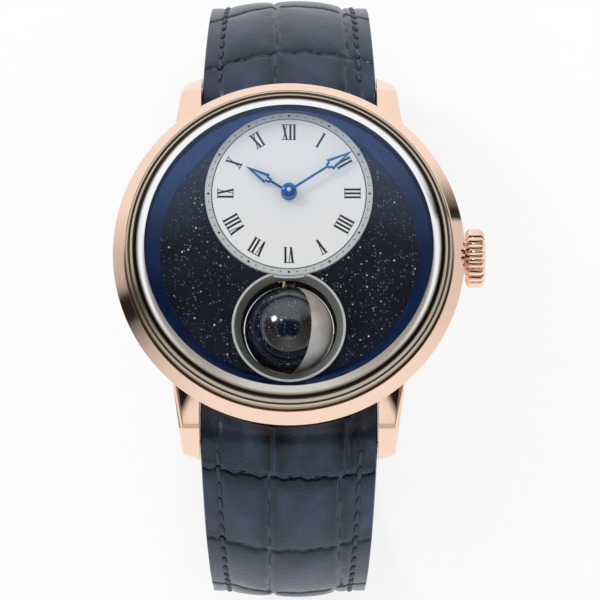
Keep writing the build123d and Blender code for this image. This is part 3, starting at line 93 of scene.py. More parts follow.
def add(
    tree: Tree, kind: str, feeds: dict[str | int, Feed] | None = None, out: str | int = 0,
    stops: Stops = (), **settings: object,
) -> Socket | None:
    """Adds one node with its settings, values and links.

    Args:
        tree: Node tree that gets the node.
        kind: Node type without its ShaderNode prefix.
        feeds: Values or output sockets, by input name or number.
        out: The output that is wanted, by name or number.
        stops: Place and sRGB hex colour of each stop of a colour ramp, in order.
        **settings: Properties of the node itself.

    Returns:
        The wanted output, or None where the node has no outputs.
    """
    node = tree.nodes.new("ShaderNode" + kind)
    for name, value in settings.items():
        setattr(node, name, value)
    for key, value in (feeds or {}).items():
        if isinstance(value, Socket):
            tree.links.new(value, node.inputs[key])
        else:
            node.inputs[key].default_value = value
    if stops:
        elements = node.color_ramp.elements
        while len(elements) < len(stops):
            elements.new(0.5)
        for element, (place, code) in zip(elements, stops):
            element.position = place
            element.color = paint(code)
    return node.outputs[out] if len(node.outputs) else None


def link(name: str, data: bpy.types.ID) -> Piece:
    """Adds an object with its data to the scene and gives it back."""
    piece = bpy.data.objects.new(name, data)
    bpy.context.scene.collection.objects.link(piece)
    return piece


def to_object(name: str, shape: Shape) -> Piece:
    """Turns a shape in millimetres into an object of the scene.

    Args:
        name: Name of the object and its mesh.
        shape: The mesh in millimetres; it is used up.

    Returns:
        The new object.
    """
    bmesh.ops.recalc_face_normals(shape, faces=shape.faces)
    bmesh.ops.scale(shape, vec=(MM, MM, MM), verts=shape.verts)
    mesh = bpy.data.meshes.new(name)
    shape.to_mesh(mesh)
    shape.free()
    return link(name, mesh)


def settle(
    name: str, shape: Shape, finishes: Sequence["Finish"], body: str,
    stands_for: Sequence[str] = (), smooth: float = 14.0, weld: float = WELD,
) -> Piece:
    """Turns a shape in millimetres into a dressed piece that rides on its body.

    Args:
        name: Name of the piece.
        shape: The mesh in millimetres; it is used up.
        finishes: Finishes in the order of the faces' material numbers.
        body: CAD body that the piece moves with.
        stands_for: CAD nodes that the piece replaces.
        smooth: Edges flatter than this angle in degrees are shaded smooth.
        weld: Distance under which points become one.

    Returns:
        The new object.
    """
    if weld:
        bmesh.ops.remove_doubles(shape, verts=shape.verts, dist=weld)
        bmesh.ops.dissolve_degenerate(shape, dist=weld / 2, edges=shape.edges)
    piece = to_object(name, shape)
    mesh = piece.data
    mesh.polygons.foreach_set("use_smooth", [True] * len(mesh.polygons))
    mesh.set_sharp_from_angle(angle=radians(smooth))
    for finish in finishes:
        mesh.materials.append(finish.material())
    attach(piece, body)
    if stands_for:
        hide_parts(*stands_for)
    log.info("%s: %d faces on %s", name, len(mesh.polygons), body)
    return piece


def clean(shape: Shape) -> None:
    """Joins points that lie together and turns all faces outwards."""
    bmesh.ops.remove_doubles(shape, verts=shape.verts, dist=WELD)
    bmesh.ops.recalc_face_normals(shape, faces=shape.faces)


def everything(shape: Shape) -> list:
    """Gives all points, edges and faces of a shape."""
    return shape.verts[:] + shape.edges[:] + shape.faces[:]


def turned(
    profile: Sequence[Point2], shape: Shape | None = None, closed: bool = True,
    steps: int = FINE_STEPS, centre: Point2 = (0.0, 0.0), start: float = 0.0,
    sweep: float = 360.0,
) -> Shape:
    """Turns a profile about an upright axis.

    Args:
        profile: Radius and height of each corner.
        shape: Mesh that gets the new faces, or None for a new one.
        closed: Whether the last corner joins the first.
        steps: Number of steps in the sweep.
        centre: Place of the axis.
        start: Heading of the first copy in degrees.
        sweep: Angle of the sweep in degrees.

    Returns:
        The mesh with the turned faces.
    """
    shape = shape or bmesh.new()
    a = radians(start)
    corners = [
        shape.verts.new((centre[0] + r * cos(a), centre[1] + r * sin(a), z)) for r, z in profile
    ]
    pairs = list(zip(corners, corners[1:])) + ([(corners[-1], corners[0])] if closed else [])
    edges = [shape.edges.new(pair) for pair in pairs]
    whole = sweep >= 360
    geometry: list = corners + edges
    if closed and not whole:
        geometry.append(shape.faces.new(corners))
    bmesh.ops.spin(
        shape, geom=geometry, cent=(*centre, 0), axis=(0, 0, 1), angle=radians(sweep),
        steps=steps, use_merge=whole, use_normal_flip=False, use_duplicate=False,
    )
    return shape


def drum(radius: float, low: float, high: float, centre: Point2) -> Shape:
    """Makes a closed upright cylinder between two heights, to cut with."""
    profile = ((0.0, low), (radius, low), (radius, high), (0.0, high))
    return turned(profile, closed=False, centre=centre)


def grow(shape: Shape, faces: Sequence[bmesh.types.BMFace], way: Point3) -> list[Vert]:
    """Extrudes faces and moves what has grown.

    Args:
        shape: The mesh to work on.
        faces: The faces to extrude.
        way: Movement of the new faces.

    Returns:
        The points of the new faces.
    """
    made = bmesh.ops.extrude_face_region(shape, geom=faces)["geom"]
    tops = [v for v in made if isinstance(v, Vert)]
    bmesh.ops.translate(shape, vec=way, verts=tops)
    return tops


def prism(outline: Sequence[Point2], low: float, high: float, shape: Shape) -> None:
    """Raises a flat outline into a block.

    Args:
        outline: Corners of the outline, in order.
        low: Height of its lower face.
        high: Height of its upper face.
        shape: Mesh that gets the block.
    """
    face = shape.faces.new([shape.verts.new((x, y, low)) for x, y in outline])
    grow(shape, [face], (0, 0, high - low))


def slice_off(shape: Shape, point: Vector, normal: Vector, clear: str = "clear_outer") -> None:
    """Cuts a shape with a plane, drops one side and closes the cut.

    Args:
        shape: The mesh to work on.
        point: A point on the plane.
        normal: The plane's direction, which points to its outer side.
        clear: The side that is dropped, clear_outer or clear_inner.
    """
    cut = bmesh.ops.bisect_plane(
        shape, geom=everything(shape), plane_co=point, plane_no=normal, **{clear: True}
    )["geom_cut"]
    rim = [e for e in cut if isinstance(e, bmesh.types.BMEdge)]
    bmesh.ops.edgeloop_fill(shape, edges=rim)


def ease(shape: Shape, width: float, angle: float = 20.0) -> None:
    """Rounds the corners of a shape, as polishing does.

    Args:
        shape: The mesh to work on.
        width: Width of the rounding.
        angle: Corners flatter than this many degrees are left alone.
    """
    clean(shape)
    sharp = [
        e for e in shape.edges
        if len(e.link_faces) == 2 and e.calc_face_angle(0.0) > radians(angle)
    ]
    bmesh.ops.bevel(
        shape, geom=sharp, offset=width, offset_type="OFFSET", segments=2, profile=0.5,
        affect="EDGES", material=-1, clamp_overlap=True,
    )


def bore(piece: Piece, cutter: Shape, solver: str = "EXACT") -> None:
    """Cuts a piece with a closed shape in millimetres, which is used up.

    Args:
        piece: The piece to cut.
        cutter: The shape to take away.
        solver: Way of working out the cut; MANIFOLD suits dense padded leather.
    """
    clean(cutter)
    tool = to_object("cutter", cutter)
    cut = piece.modifiers.new("cut", "BOOLEAN")
    cut.operation, cut.solver, cut.object = "DIFFERENCE", solver, tool
    graph = bpy.context.evaluated_depsgraph_get()
    result = bpy.data.meshes.new_from_object(piece.evaluated_get(graph), depsgraph=graph)
    piece.modifiers.remove(cut)
    old, piece.data, mesh = piece.data, result, tool.data
    bpy.data.meshes.remove(old)
    bpy.data.objects.remove(tool)
    bpy.data.meshes.remove(mesh)


def tilt_about(shape: Shape, verts: Sequence[Vert], axis: Point3, angle: float) -> None:
    """Turns some points of a shape about an axis through the origin.

    Args:
        shape: The mesh to work on.
        verts: The points that turn.
        axis: Direction of the axis.
        angle: Angle in degrees.
    """
    turn = Matrix.Rotation(radians(angle), 3, Vector(axis))
    bmesh.ops.rotate(shape, cent=(0, 0, 0), matrix=turn, verts=verts)


# ---------------------------------------------------------------------------------------
# Finishes
# ---------------------------------------------------------------------------------------


@dataclass(frozen=True)
class Finish:
    """A surface as its maker would name it, with typical optical values.

    A drift is the scale and detail of a slow change between the shades. A grain is the
    scale and detail of a fine relief, its depth in millimetres and the share that shows.
    """

    title: str = "plain finish"
    colour: str = "#808080"
    metallic: float = 0.0
    roughness: float = 0.5
    ior: float = 1.5
    coat: float = 0.0
    coat_roughness: float = 0.05
    drift: Point2 = (1.0, 2.0)
    shades: Stops = ()
    grain: tuple[float, float, float, float] | None = None

    def detail(self, tree: Tree, shader: Node) -> None:
        """Adds the nodes for this finish's own grain, wear and colour.

        Args:
            tree: Node tree of the material.
            shader: The Principled node.
        """
        if self.shades:
            tree.links.new(self.ground(tree), shader.inputs["Base Color"])
        if self.grain:
            scale, detail, depth, strength = self.grain
            feeds = {"Vector": self.place(tree), "Scale": scale, "Detail": detail}
            self.bump(tree, shader, add(tree, "TexNoise", feeds, "Fac"), depth, strength)

    def material(self) -> bpy.types.Material:
        """Makes the material once and gives it again when asked.

        Returns:
            The Blender material of this finish.
        """
        known = bpy.data.materials.get(self.title)
        if known:
            return known
        made = bpy.data.materials.new(self.title)
        made.use_nodes = True
        tree = made.node_tree
        tree.nodes.clear()
        surface = add(
            tree, "BsdfPrincipled",
            {
                "Base Color": paint(self.colour), "Metallic": self.metallic,
                "Roughness": self.roughness, "IOR": self.ior, "Coat Weight": self.coat,
                "Coat Roughness": self.coat_roughness,
            },
        )
        add(tree, "OutputMaterial", {"Surface": surface})
        self.detail(tree, surface.node)
        return made

    def place(self, tree: Tree, centre: Point2 = (0.0, 0.0)) -> Socket:
        """Gives object coordinates in millimetres about a centre.

        Args:
            tree: Node tree of the material.
            centre: Point in millimetres that becomes the origin.

        Returns:
            A vector socket.
        """
        feeds = {
            "Vector": add(tree, "TexCoord", out="Object"),
            "Location": (-centre[0], -centre[1], 0.0), "Scale": (1 / MM, 1 / MM, 1 / MM),
        }
        return add(tree, "Mapping", feeds)

    def radius(self, tree: Tree, centre: Point2 = (0.0, 0.0)) -> Socket:
        """Gives the distance from an upright axis in millimetres.

        Args:
            tree: Node tree of the material.
            centre: Place of the axis.

        Returns:
            A value socket.
        """
        feeds = {0: self.place(tree, centre), 1: (1.0, 1.0, 0.0)}
        flat = add(tree, "VectorMath", feeds, operation="MULTIPLY")
        return add(tree, "VectorMath", {0: flat}, "Value", operation="LENGTH")

    def ground(self, tree: Tree) -> Socket:
        """Gives a colour that drifts between the shades.

        Args:
            tree: Node tree of the material.

        Returns:
            A colour socket.
        """
        scale, detail = self.drift
        feeds = {"Vector": self.place(tree), "Scale": scale, "Detail": detail}
        noise = add(tree, "TexNoise", feeds, "Fac")
        return add(tree, "ValToRGB", {"Fac": noise}, stops=self.shades)

    def bump(
        self, tree: Tree, shader: Node, height: Socket, depth: float, strength: float
    ) -> None:
        """Adds a relief to the shader.

        Args:
            tree: Node tree of the material.
            shader: The Principled node.
            height: Socket with the relief from 0 to 1.
            depth: Height of the relief in millimetres.
            strength: Share of the relief that shows.
        """
        feeds = {"Height": height, "Distance": depth * MM, "Strength": strength}
        tree.links.new(add(tree, "Bump", feeds), shader.inputs["Normal"])


@dataclass(frozen=True)
class RoseGold(Finish):
    """Red gold of 18 carat, turned or milled and then mirror polished.

    The eye sees a warm pink mirror with the faintest wipe marks.
    """

    title: str = "red gold, mirror polished"
    colour: str = "#f8d8c4"
    metallic: float = 1.0
    roughness: float = 0.07
    wiped: Point2 = (0.04, 0.09)

    def detail(self, tree: Tree, shader: Node) -> None:
        """Adds wipe marks of about 1.5 mm that change the gloss a little."""
        feeds = {"Vector": self.place(tree), "Scale": 0.7, "Detail": 5.0}
        marks = add(tree, "TexNoise", feeds, "Fac")
        low, high = self.wiped
        gloss = add(tree, "MapRange", {"Value": marks, "To Min": low, "To Max": high})
        tree.links.new(gloss, shader.inputs["Roughness"])


@dataclass(frozen=True)
class Steel(Finish):
    """Stainless steel, brushed along its length or polished.

    The eye sees a neutral grey metal with fine lines.
    """

    title: str = "stainless steel, brushed"
    colour: str = "#c3c4c6"
    metallic: float = 1.0
    roughness: float = 0.28
    brushed: Point2 = (-0.1, 0.12)

    def detail(self, tree: Tree, shader: Node) -> None:
        """Adds lines 0.2 mm apart, coarser than real brushing so that they show."""
        along = add(tree, "Mapping", {"Vector": self.place(tree), "Scale": (0.3, 5.0, 5.0)})
        lines = add(tree, "TexNoise", {"Vector": along, "Scale": 1.0, "Detail": 3.0}, "Fac")
        low, high = (self.roughness + change for change in self.brushed)
        gloss = add(tree, "MapRange", {"Value": lines, "To Min": low, "To Max": high})
        tree.links.new(gloss, shader.inputs["Roughness"])


@dataclass(frozen=True)
class ClearSapphire(Finish):
    """Synthetic sapphire, polished and coated against reflections.

    The eye sees through it and finds the room mirrored faintly in blue, more at its edge. It
    is a mirror that lets through what it does not reflect, so it casts no dark shadow.
    """

    title: str = "sapphire glass, coated"
    colour: str = "#a9c6f4"
    metallic: float = 1.0
    roughness: float = 0.02
    straight_share: float = 0.05
    edge_power: float = 5.0

    def detail(self, tree: Tree, shader: Node) -> None:
        """Lets light through in the share that the glass does not reflect, on both sides."""
        facing = add(tree, "LayerWeight", {"Blend": 0.5}, "Facing")
        rise = add(tree, "Math", {0: facing, 1: self.edge_power}, operation="POWER")
        feeds = {0: rise, 1: 1 - self.straight_share, 2: self.straight_share}
        share = add(tree, "Math", feeds, operation="MULTIPLY_ADD")
        tree.links.new(share, shader.inputs["Alpha"])


@dataclass(frozen=True)
class SapphireEdge(Finish):
    """The steep edge of the sapphire, where light is mirrored inside the glass.

    The eye sees rings of warm grey with dark lines between them. These rings are painted
    reflection: bands of mirrored light and room laid into the base colour by radius.
    """

    title: str = "sapphire edge, painted reflection rings"
    colour: str = "#b7aa98"
    metallic: float = 0.85
    roughness: float = 0.12
    ior: float = 1.77
    inner: float = 17.8
    outer: float = 20.4
    # Painted reflection: a white band of mirrored light, then warm grey and dark rings, by
    # radius.
    rings: Stops = (
        (0.0, "#f2f4f6"), (0.3, "#f2f4f6"), (0.4, "#8f8270"), (0.47, "#141516"),
        (0.56, "#17181a"), (0.61, "#a79a87"), (0.72, "#c2b7a6"), (0.77, "#54493d"),
        (0.82, "#b9ac99"), (0.9, "#cabfae"), (0.97, "#8a7a66"), (1.0, "#6d5f4f"),
    )

    def detail(self, tree: Tree, shader: Node) -> None:
        """Adds the rings of painted reflection, by their distance from the middle in millimetres.
        """
        feeds = {"Value": self.radius(tree), "From Min": self.inner, "From Max": self.outer}
        rings = add(tree, "ValToRGB", {"Fac": add(tree, "MapRange", feeds)}, stops=self.rings)
        tree.links.new(rings, shader.inputs["Base Color"])


@dataclass(frozen=True)
class Aventurine(Finish):
    """Dark blue aventurine glass, ground flat and polished.

    The eye sees a night blue glass full of tiny bright flakes. Each kind of flake has a share of
    the pitch, a size as a share of its cell, and its brightest colour; the flakes are real, their
    near-white brightest colour is a painted glint.
    """

    title: str = "aventurine glass, polished"
    colour: str = "#10131c"
    roughness: float = 0.2
    coat: float = 0.5
    drift: Point2 = (0.16, 4.0)
    shades: Stops = ((0.3, "#0b0d14"), (0.7, "#191f2e"))
    flake_pitch: float = 0.36
    flakes: tuple[tuple[float, float, str], ...] = (
        (1.0, 0.34, "#6f7890"), (2.3, 0.17, "#f4f6ff"),
    )
    # Painted glint: only flakes whose random pick passes these levels get their bright colour.
    flake_light: Point2 = (0.38, 0.95)

    def detail(self, tree: Tree, shader: Node) -> None:
        """Adds flakes of about 0.1 mm, coarser than real ones so that they show, with a painted
        glint on a random share of them.
        """
        place = self.place(tree)
        colour = self.ground(tree)
        dim, bright = self.flake_light
        for share, size, brightest in self.flakes:
            feeds = {"Vector": place, "Scale": 1 / (self.flake_pitch * share)}
            cells = add(tree, "TexVoronoi", feeds).node.outputs
            pick = add(tree, "SeparateColor", {"Color": cells["Color"]}, "Red")
            feeds = {"Value": cells["Distance"], "From Min": size, "From Max": size * 0.5}
            dot = add(tree, "MapRange", feeds)
            chosen = add(tree, "MapRange", {"Value": pick, "From Min": dim, "From Max": bright})
            strength = add(tree, "Math", {0: dot, 1: chosen}, operation="MULTIPLY")
            # The chosen flakes are mixed in at their bright colour, a painted glint.
            feeds = {0: strength, 6: colour, 7: paint(brightest)}
            colour = add(tree, "Mix", feeds, 2, data_type="RGBA")
        tree.links.new(colour, shader.inputs["Base Color"])


@dataclass(frozen=True)
class OpalineDial(Finish):
    """Silvered opaline white, a fine matt plating under clear lacquer.

    The eye sees a soft white with a grain of 0.08 mm, almost too fine to find.
    """

    title: str = "opaline dial, white"
    colour: str = "#f3f4f2"
    roughness: float = 0.42
    coat: float = 0.25
    grain: tuple[float, float, float, float] = (12.0, 2.0, 0.004, 0.25)


@dataclass(frozen=True)
class ChapterRing(Finish):
    """A rhodium plated ring, brushed round its own centre.

    The eye sees a grey metal whose brightness changes round the ring.
    """

    title: str = "rhodium ring, circular brushed"
    colour: str = "#d6d9d7"
    metallic: float = 0.25
    roughness: float = 0.34

    def detail(self, tree: Tree, shader: Node) -> None:
        """Adds rings 0.08 mm apart as a faint relief."""
        feeds = {"W": self.radius(tree, HOURS_CENTRE), "Scale": 12.0, "Detail": 1.0}
        rings = add(tree, "TexNoise", feeds, "Fac", noise_dimensions="1D")
        self.bump(tree, shader, rings, 0.01, 0.35)


@dataclass(frozen=True)
class BluedSteel(Finish):
    """Polished steel, heated until its oxide turns blue.

    The eye sees a bright blue mirror, nearly black where it mirrors shade. Heating leaves a
    small drift of colour over a few millimetres.
    """

    title: str = "steel, blued by heat"
    colour: str = "#1c6fb8"
    metallic: float = 0.45
    roughness: float = 0.26
    drift: Point2 = (0.35, 1.0)
    shades: Stops = ((0.35, "#1460ab"), (0.65, "#2486d2"))


@dataclass(frozen=True)
class BlueLacquer(Finish):
    """Night blue lacquer over turned brass, its depth changing slowly.

    The eye sees a deep blue that turns bright where it faces a lamp.
    """

    title: str = "blue lacquer, glossy"
    colour: str = "#1a3564"
    metallic: float = 0.85
    roughness: float = 0.24
    coat: float = 0.2
    drift: Point2 = (0.1, 2.0)
    shades: Stops = ((0.3, "#15284e"), (0.7, "#1f4380"))


@dataclass(frozen=True)
class MoonStone(Finish):
    """Pale ruthenium grey stone, ground to a half globe and satin polished.

    The eye sees a grey stone with beige mottles of about 2 mm and grains of 0.3 mm.
    """

    title: str = "pale moon stone, satin"
    colour: str = "#c9c6c0"
    roughness: float = 0.3
    coat: float = 0.3
    drift: Point2 = (0.28, 6.0)
    shades: Stops = ((0.3, "#b3a493"), (0.5, "#cfcac2"), (0.7, "#e6e7e3"))
    grain: tuple[float, float, float, float] = (3.5, 3.0, 0.02, 0.3)


@dataclass(frozen=True)
class DialInk(Finish):
    """Black pad printing ink, faintly uneven over 0.1 mm.

    The eye sees a flat black with a slight gloss.
    """

    title: str = "printing ink, black"
    colour: str = "#17181b"
    roughness: float = 0.38
    grain: tuple[float, float, float, float] = (10.0, 2.0, 0.003, 0.3)


@dataclass(frozen=True)
class Brass(Finish):
    """Brass, gilt and grained.

    The eye sees a pale yellow metal with a fine frosting of 0.1 mm.
    """

    title: str = "brass, gilt"
    colour: str = "#d8b878"
    metallic: float = 1.0
    roughness: float = 0.3
    grain: tuple[float, float, float, float] = (9.0, 2.0, 0.006, 0.3)


@dataclass(frozen=True)
class StripedPlate(Finish):
    """Rhodium plated brass with straight decorating stripes.

    The eye sees a grey metal with soft stripes 1.6 mm wide.
    """

    title: str = "rhodium plate, striped"
    colour: str = "#bfbdb8"
    metallic: float = 1.0
    roughness: float = 0.3

    def detail(self, tree: Tree, shader: Node) -> None:
        """Adds the stripes as a relief, slanted across the movement."""
        feeds = {"Vector": self.place(tree), "Rotation": (0.0, 0.0, radians(25))}
        feeds = {"Vector": add(tree, "Mapping", feeds), "Scale": 0.1}
        stripes = add(tree, "TexWave", feeds, "Fac", wave_profile="SAW")
        self.bump(tree, shader, stripes, 0.12, 0.6)


@dataclass(frozen=True)
class Ruby(Finish):
    """Synthetic ruby, polished.

    The eye sees a deep pink red bead that changes slightly over half a millimetre.
    """

    title: str = "ruby, polished"
    colour: str = "#b4163f"
    roughness: float = 0.08
    ior: float = 1.77
    coat: float = 0.4
    drift: Point2 = (2.0, 2.0)
    shades: Stops = ((0.3, "#8f0f30"), (0.7, "#c92450"))


@dataclass(frozen=True)
class Gasket(Finish):
    """Black nitrile rubber, moulded, with a fine skin.

    The eye sees a matt black ring.
    """

    title: str = "nitrile rubber, moulded"
    colour: str = "#1c1c1d"
    roughness: float = 0.7
    grain: tuple[float, float, float, float] = (6.0, 2.0, 0.01, 0.3)


@dataclass(frozen=True)
class CrocodileLeather(Finish):
    """Navy crocodile grain leather, dyed, glazed and padded.

    The eye sees large smooth scales with a soft gloss, fine creases on them, and grooves with
    dark walls and a lighter blue floor. Each layer is laid over the dye where a mesh attribute
    rises between two values: dark rims, a painted shade towards each scale's edge that stands in
    for the gloss of pillowed scales; dark walls, a painted shade in the grooves; and the grooves'
    blue floor, the leather's own colour.
    """

    title: str = "crocodile grain leather, navy glazed"
    colour: str = "#1d2636"
    roughness: float = 0.27
    ior: float = 1.8
    tint: str = "#b4c6e4"
    shades: Stops = ((0.3, "#161d2b"), (0.5, "#222c3e"), (0.7, "#364254"))
    # The rim layer and the first groove layer are painted shade; the second groove layer is the
    # grooves' own blue.
    layers: tuple[tuple[str, float, float, str], ...] = (
        ("rim", 0.08, 0.6, "#0b0f18"), ("groove", 0.1, 0.4, "#080b12"),
        ("groove", 0.68, 0.95, "#2a4468"),
    )

    def detail(self, tree: Tree, shader: Node) -> None:
        """Adds drift of the dye, painted shade at the scales' rims and the grooves' walls, blue
        groove floors and creases of 0.5 to 2 mm.
        """
        shader.inputs["Specular Tint"].default_value = paint(self.tint)
        across = add(tree, "UVMap", uv_map="strap")
        dye = add(tree, "TexNoise", {"Vector": across, "Scale": 2.2, "Detail": 5.0}, "Fac")
        colour = add(tree, "ValToRGB", {"Fac": dye}, stops=self.shades)
        for source, low, high, code in self.layers:
            level = add(tree, "Attribute", out="Fac", attribute_name=source)
            mask = add(tree, "MapRange", {"Value": level, "From Min": low, "From Max": high})
            feeds = {0: mask, 6: colour, 7: paint(code)}
            colour = add(tree, "Mix", feeds, 2, data_type="RGBA")
        tree.links.new(colour, shader.inputs["Base Color"])
        stretched = add(tree, "Mapping", {"Vector": across, "Scale": (6.0, 14.0, 1.0)})
        wrinkles = add(
            tree, "TexVoronoi", {"Vector": stretched, "Scale": 1.0}, "Distance",
            feature="DISTANCE_TO_EDGE",
        )
        creases = add(tree, "MapRange", {"Value": wrinkles, "From Max": 0.12})
        pores = add(tree, "TexNoise", {"Vector": across, "Scale": 40.0, "Detail": 3.0}, "Fac")
        relief = add(tree, "Mix", {0: 0.35, 2: creases, 3: pores}, data_type="FLOAT")
        self.bump(tree, shader, relief, 0.05, 0.35)


@dataclass(frozen=True)
class PlainLeather(Finish):
    """Smooth calf leather for linings, edges and keepers.

    The eye sees a plain navy leather with fine pores.
    """

    title: str = "calf leather, navy smooth"
    colour: str = "#1e2736"
    roughness: float = 0.5
    drift: Point2 = (0.4, 4.0)
    shades: Stops = ((0.3, "#161d2a"), (0.7, "#2a3548"))

    def detail(self, tree: Tree, shader: Node) -> None:
        """Adds pores of 0.15 mm to the drift of the dye."""
        super().detail(tree, shader)
        feeds = {"Vector": self.place(tree), "Scale": 6.0}
        self.bump(tree, shader, add(tree, "TexVoronoi", feeds, "Distance"), 0.03, 0.3)


@dataclass(frozen=True)
class LinenThread(Finish):
    """Waxed linen thread, twisted and dyed.

    The eye sees short thick stitches with a slight purple shine, painted as lighter purple on the
    ridges of the twist.
    """

    title: str = "linen thread, waxed"
    colour: str = "#262c48"
    roughness: float = 0.45
    shades: Stops = ((0.2, "#10131f"), (0.8, "#3f4468"))

    def detail(self, tree: Tree, shader: Node) -> None:
        """Adds the twist of the thread, 0.25 mm between strands, as a relief and as a painted
        sheen in the colour.
        """
        feeds = {"Vector": self.place(tree), "Scale": 1.2, "Distortion": 1.0}
        twist_and_sheen = add(tree, "TexWave", feeds, "Fac", bands_direction="DIAGONAL")
        # Painted sheen: the strands' ridges are coloured lighter purple.
        colour = add(tree, "ValToRGB", {"Fac": twist_and_sheen}, stops=self.shades)
        tree.links.new(colour, shader.inputs["Base Color"])
        self.bump(tree, shader, twist_and_sheen, 0.05, 0.6)


class SlotFinish(Enum):
    """The finishes of the carried-over solids, by material slot of the record."""

    rose_gold = RoseGold()
    steel = Steel()
    crystal = ClearSapphire()
    aventurine = Aventurine()
    moon_stone = MoonStone()
    white_dial = OpalineDial()
    silver_ring = ChapterRing()
    moon_rim = Steel(title="steel ring, brushed", colour="#a9aaa8", roughness=0.3)
    flange_blue = BlueLacquer()
    blued_steel = BluedSteel()
    rubber = Gasket()
    brass = Brass()
    plate = StripedPlate()
    ruby = Ruby()
    leather = PlainLeather()


# ---------------------------------------------------------------------------------------
# Sub-assemblies
# ---------------------------------------------------------------------------------------


@dataclass
class Case:
    """Bezel, middle case with four lugs, and the case back with its glass."""

    bezel: Profile = (
        (18.7, 9.9), (21.5, 9.9), (22.0, 10.4), (20.55, 11.8), (20.38, 11.8), (20.38, 11.2),
        (18.7, 11.2),
    )
    bezel_ease: float = 0.07
    band: Profile = (
        (18.23, 2.0), (20.2, 2.0), (20.4, 5.6), (21.5, 9.9), (17.7, 9.9), (17.7, 2.33),
        (18.23, 2.33),
    )
    lug: Profile = (
        (15.0, 2.0), (15.0, 9.6), (15.9, 9.6), (21.9, 7.6), (24.8, 3.1), (24.8, 2.1),
        (23.9, 1.2), (21.0, 1.2), (19.8, 2.0),
    )
    lug_inner: float = 11.15
    lug_foot: float = 14.6
    lug_tip: float = 13.25
    lug_slant: float = 0.8
    lug_chamfer: float = 0.6
    lug_ease: float = 0.08
    knee_room: Point2 = (0.5, 0.1)
    knee_round: float = 0.7
    facet_tilt: float = 32.0
    back_ring: Profile = (
        (15.0, 0.0), (17.4, 0.0), (19.1, 0.0), (19.8, 0.7), (19.8, 2.0), (15.8, 2.0),
        (15.8, 0.55), (15.0, 0.55),
    )
    notch_count: int = 4
    notch_half_angle: float = 3.6
    notch_depth: float = 0.8
    back_glass: Profile = (
        (0.0, 0.0), (14.9, 0.0), (14.97, 0.07), (14.97, 0.55), (15.8, 0.55), (15.8, 1.65),
        (0.0, 1.65),
    )
    gold: Finish = RoseGold()
    glass: Finish = ClearSapphire()

    def build(self) -> None:
        """Builds the case's pieces."""
        self.build_bezel()
        self.build_middle()
        self.build_back()

    def build_bezel(self) -> None:
        """Turns the bezel and rounds its edges."""
        shape = turned(self.bezel)
        ease(shape, self.bezel_ease)
        settle("bezel_ring", shape, [self.gold], "case", ["bezel"], smooth=8.0)

    def build_middle(self) -> None:
        """Extrudes one lug, mirrors it to four and adds the turned band."""
        shape = bmesh.new()
        side = shape.faces.new([shape.verts.new((self.lug_inner, y, z)) for y, z in self.lug])
        root, tip = self.lug[0][0], max(y for y, _ in self.lug)
        taper = (self.lug_tip - self.lug_foot) / (tip - root)
        for vert in grow(shape, [side], (0, 0, 0)):
            vert.co.x = self.lug_foot + taper * (vert.co.y - root)
            if vert.co.y > tip - CLOSE:
                vert.co.y -= self.lug_slant
        bmesh.ops.recalc_face_normals(shape, faces=shape.faces)
        (knee_y, knee_z), (room_y, room_z) = self.lug[3], self.knee_room
        knee = [
            e for e in shape.edges
            if all(
                abs(v.co.y - knee_y) < room_y and abs(v.co.z - knee_z) < room_z for v in e.verts
            )
        ]
        bmesh.ops.bevel(
            shape, geom=knee, offset=self.knee_round, segments=4, profile=0.5, affect="EDGES",
            material=-1,
        )
        out = Vector((1, -taper, 0)).normalized()
        tilt = radians(self.facet_tilt)
        for (near_y, near_z), (far_y, far_z) in (self.lug[2:4], self.lug[3:5]):
            up = Vector((0, near_z - far_z, far_y - near_y)).normalized()
            edge_x = self.lug_foot + taper * (near_y - root)
            point = Vector((edge_x - self.lug_chamfer, near_y, near_z))
            slice_off(shape, point, up * cos(tilt) + out * sin(tilt))
        ease(shape, self.lug_ease, angle=24)
        for axis in ("X", "Y"):
            bmesh.ops.mirror(
                shape, geom=everything(shape), matrix=Matrix.Identity(4), merge_dist=0.0001,
                axis=axis,
            )
        turned(self.band, shape)
        settle("middle_case", shape, [self.gold], "case", ["mid_case"])

    def build_back(self) -> None:
        """Turns the case back, sinks its key notches and adds the glass."""
        shape = turned(self.back_ring)
        clean(shape)
        inner, outer = self.back_ring[1][0], self.back_ring[2][0]
        sector = 360 / self.notch_count
        picked = []
        for face in shape.faces:
            middle = face.calc_center_median()
            reach, turn = hypot(middle.x, middle.y), degrees(atan2(middle.y, middle.x))
            away = abs((turn + sector / 2) % sector - sector / 2)
            if middle.z < CLOSE and inner < reach < outer and away < self.notch_half_angle:
                picked.append(face)
        grow(shape, picked, (0, 0, self.notch_depth))
        bmesh.ops.delete(shape, geom=picked, context="FACES")
        settle("case_back_ring", shape, [self.gold], "case", ["case_back"])
        glass = turned(self.back_glass, closed=False)
        settle("back_glass", glass, [self.glass], "case", ["back_crystal"])


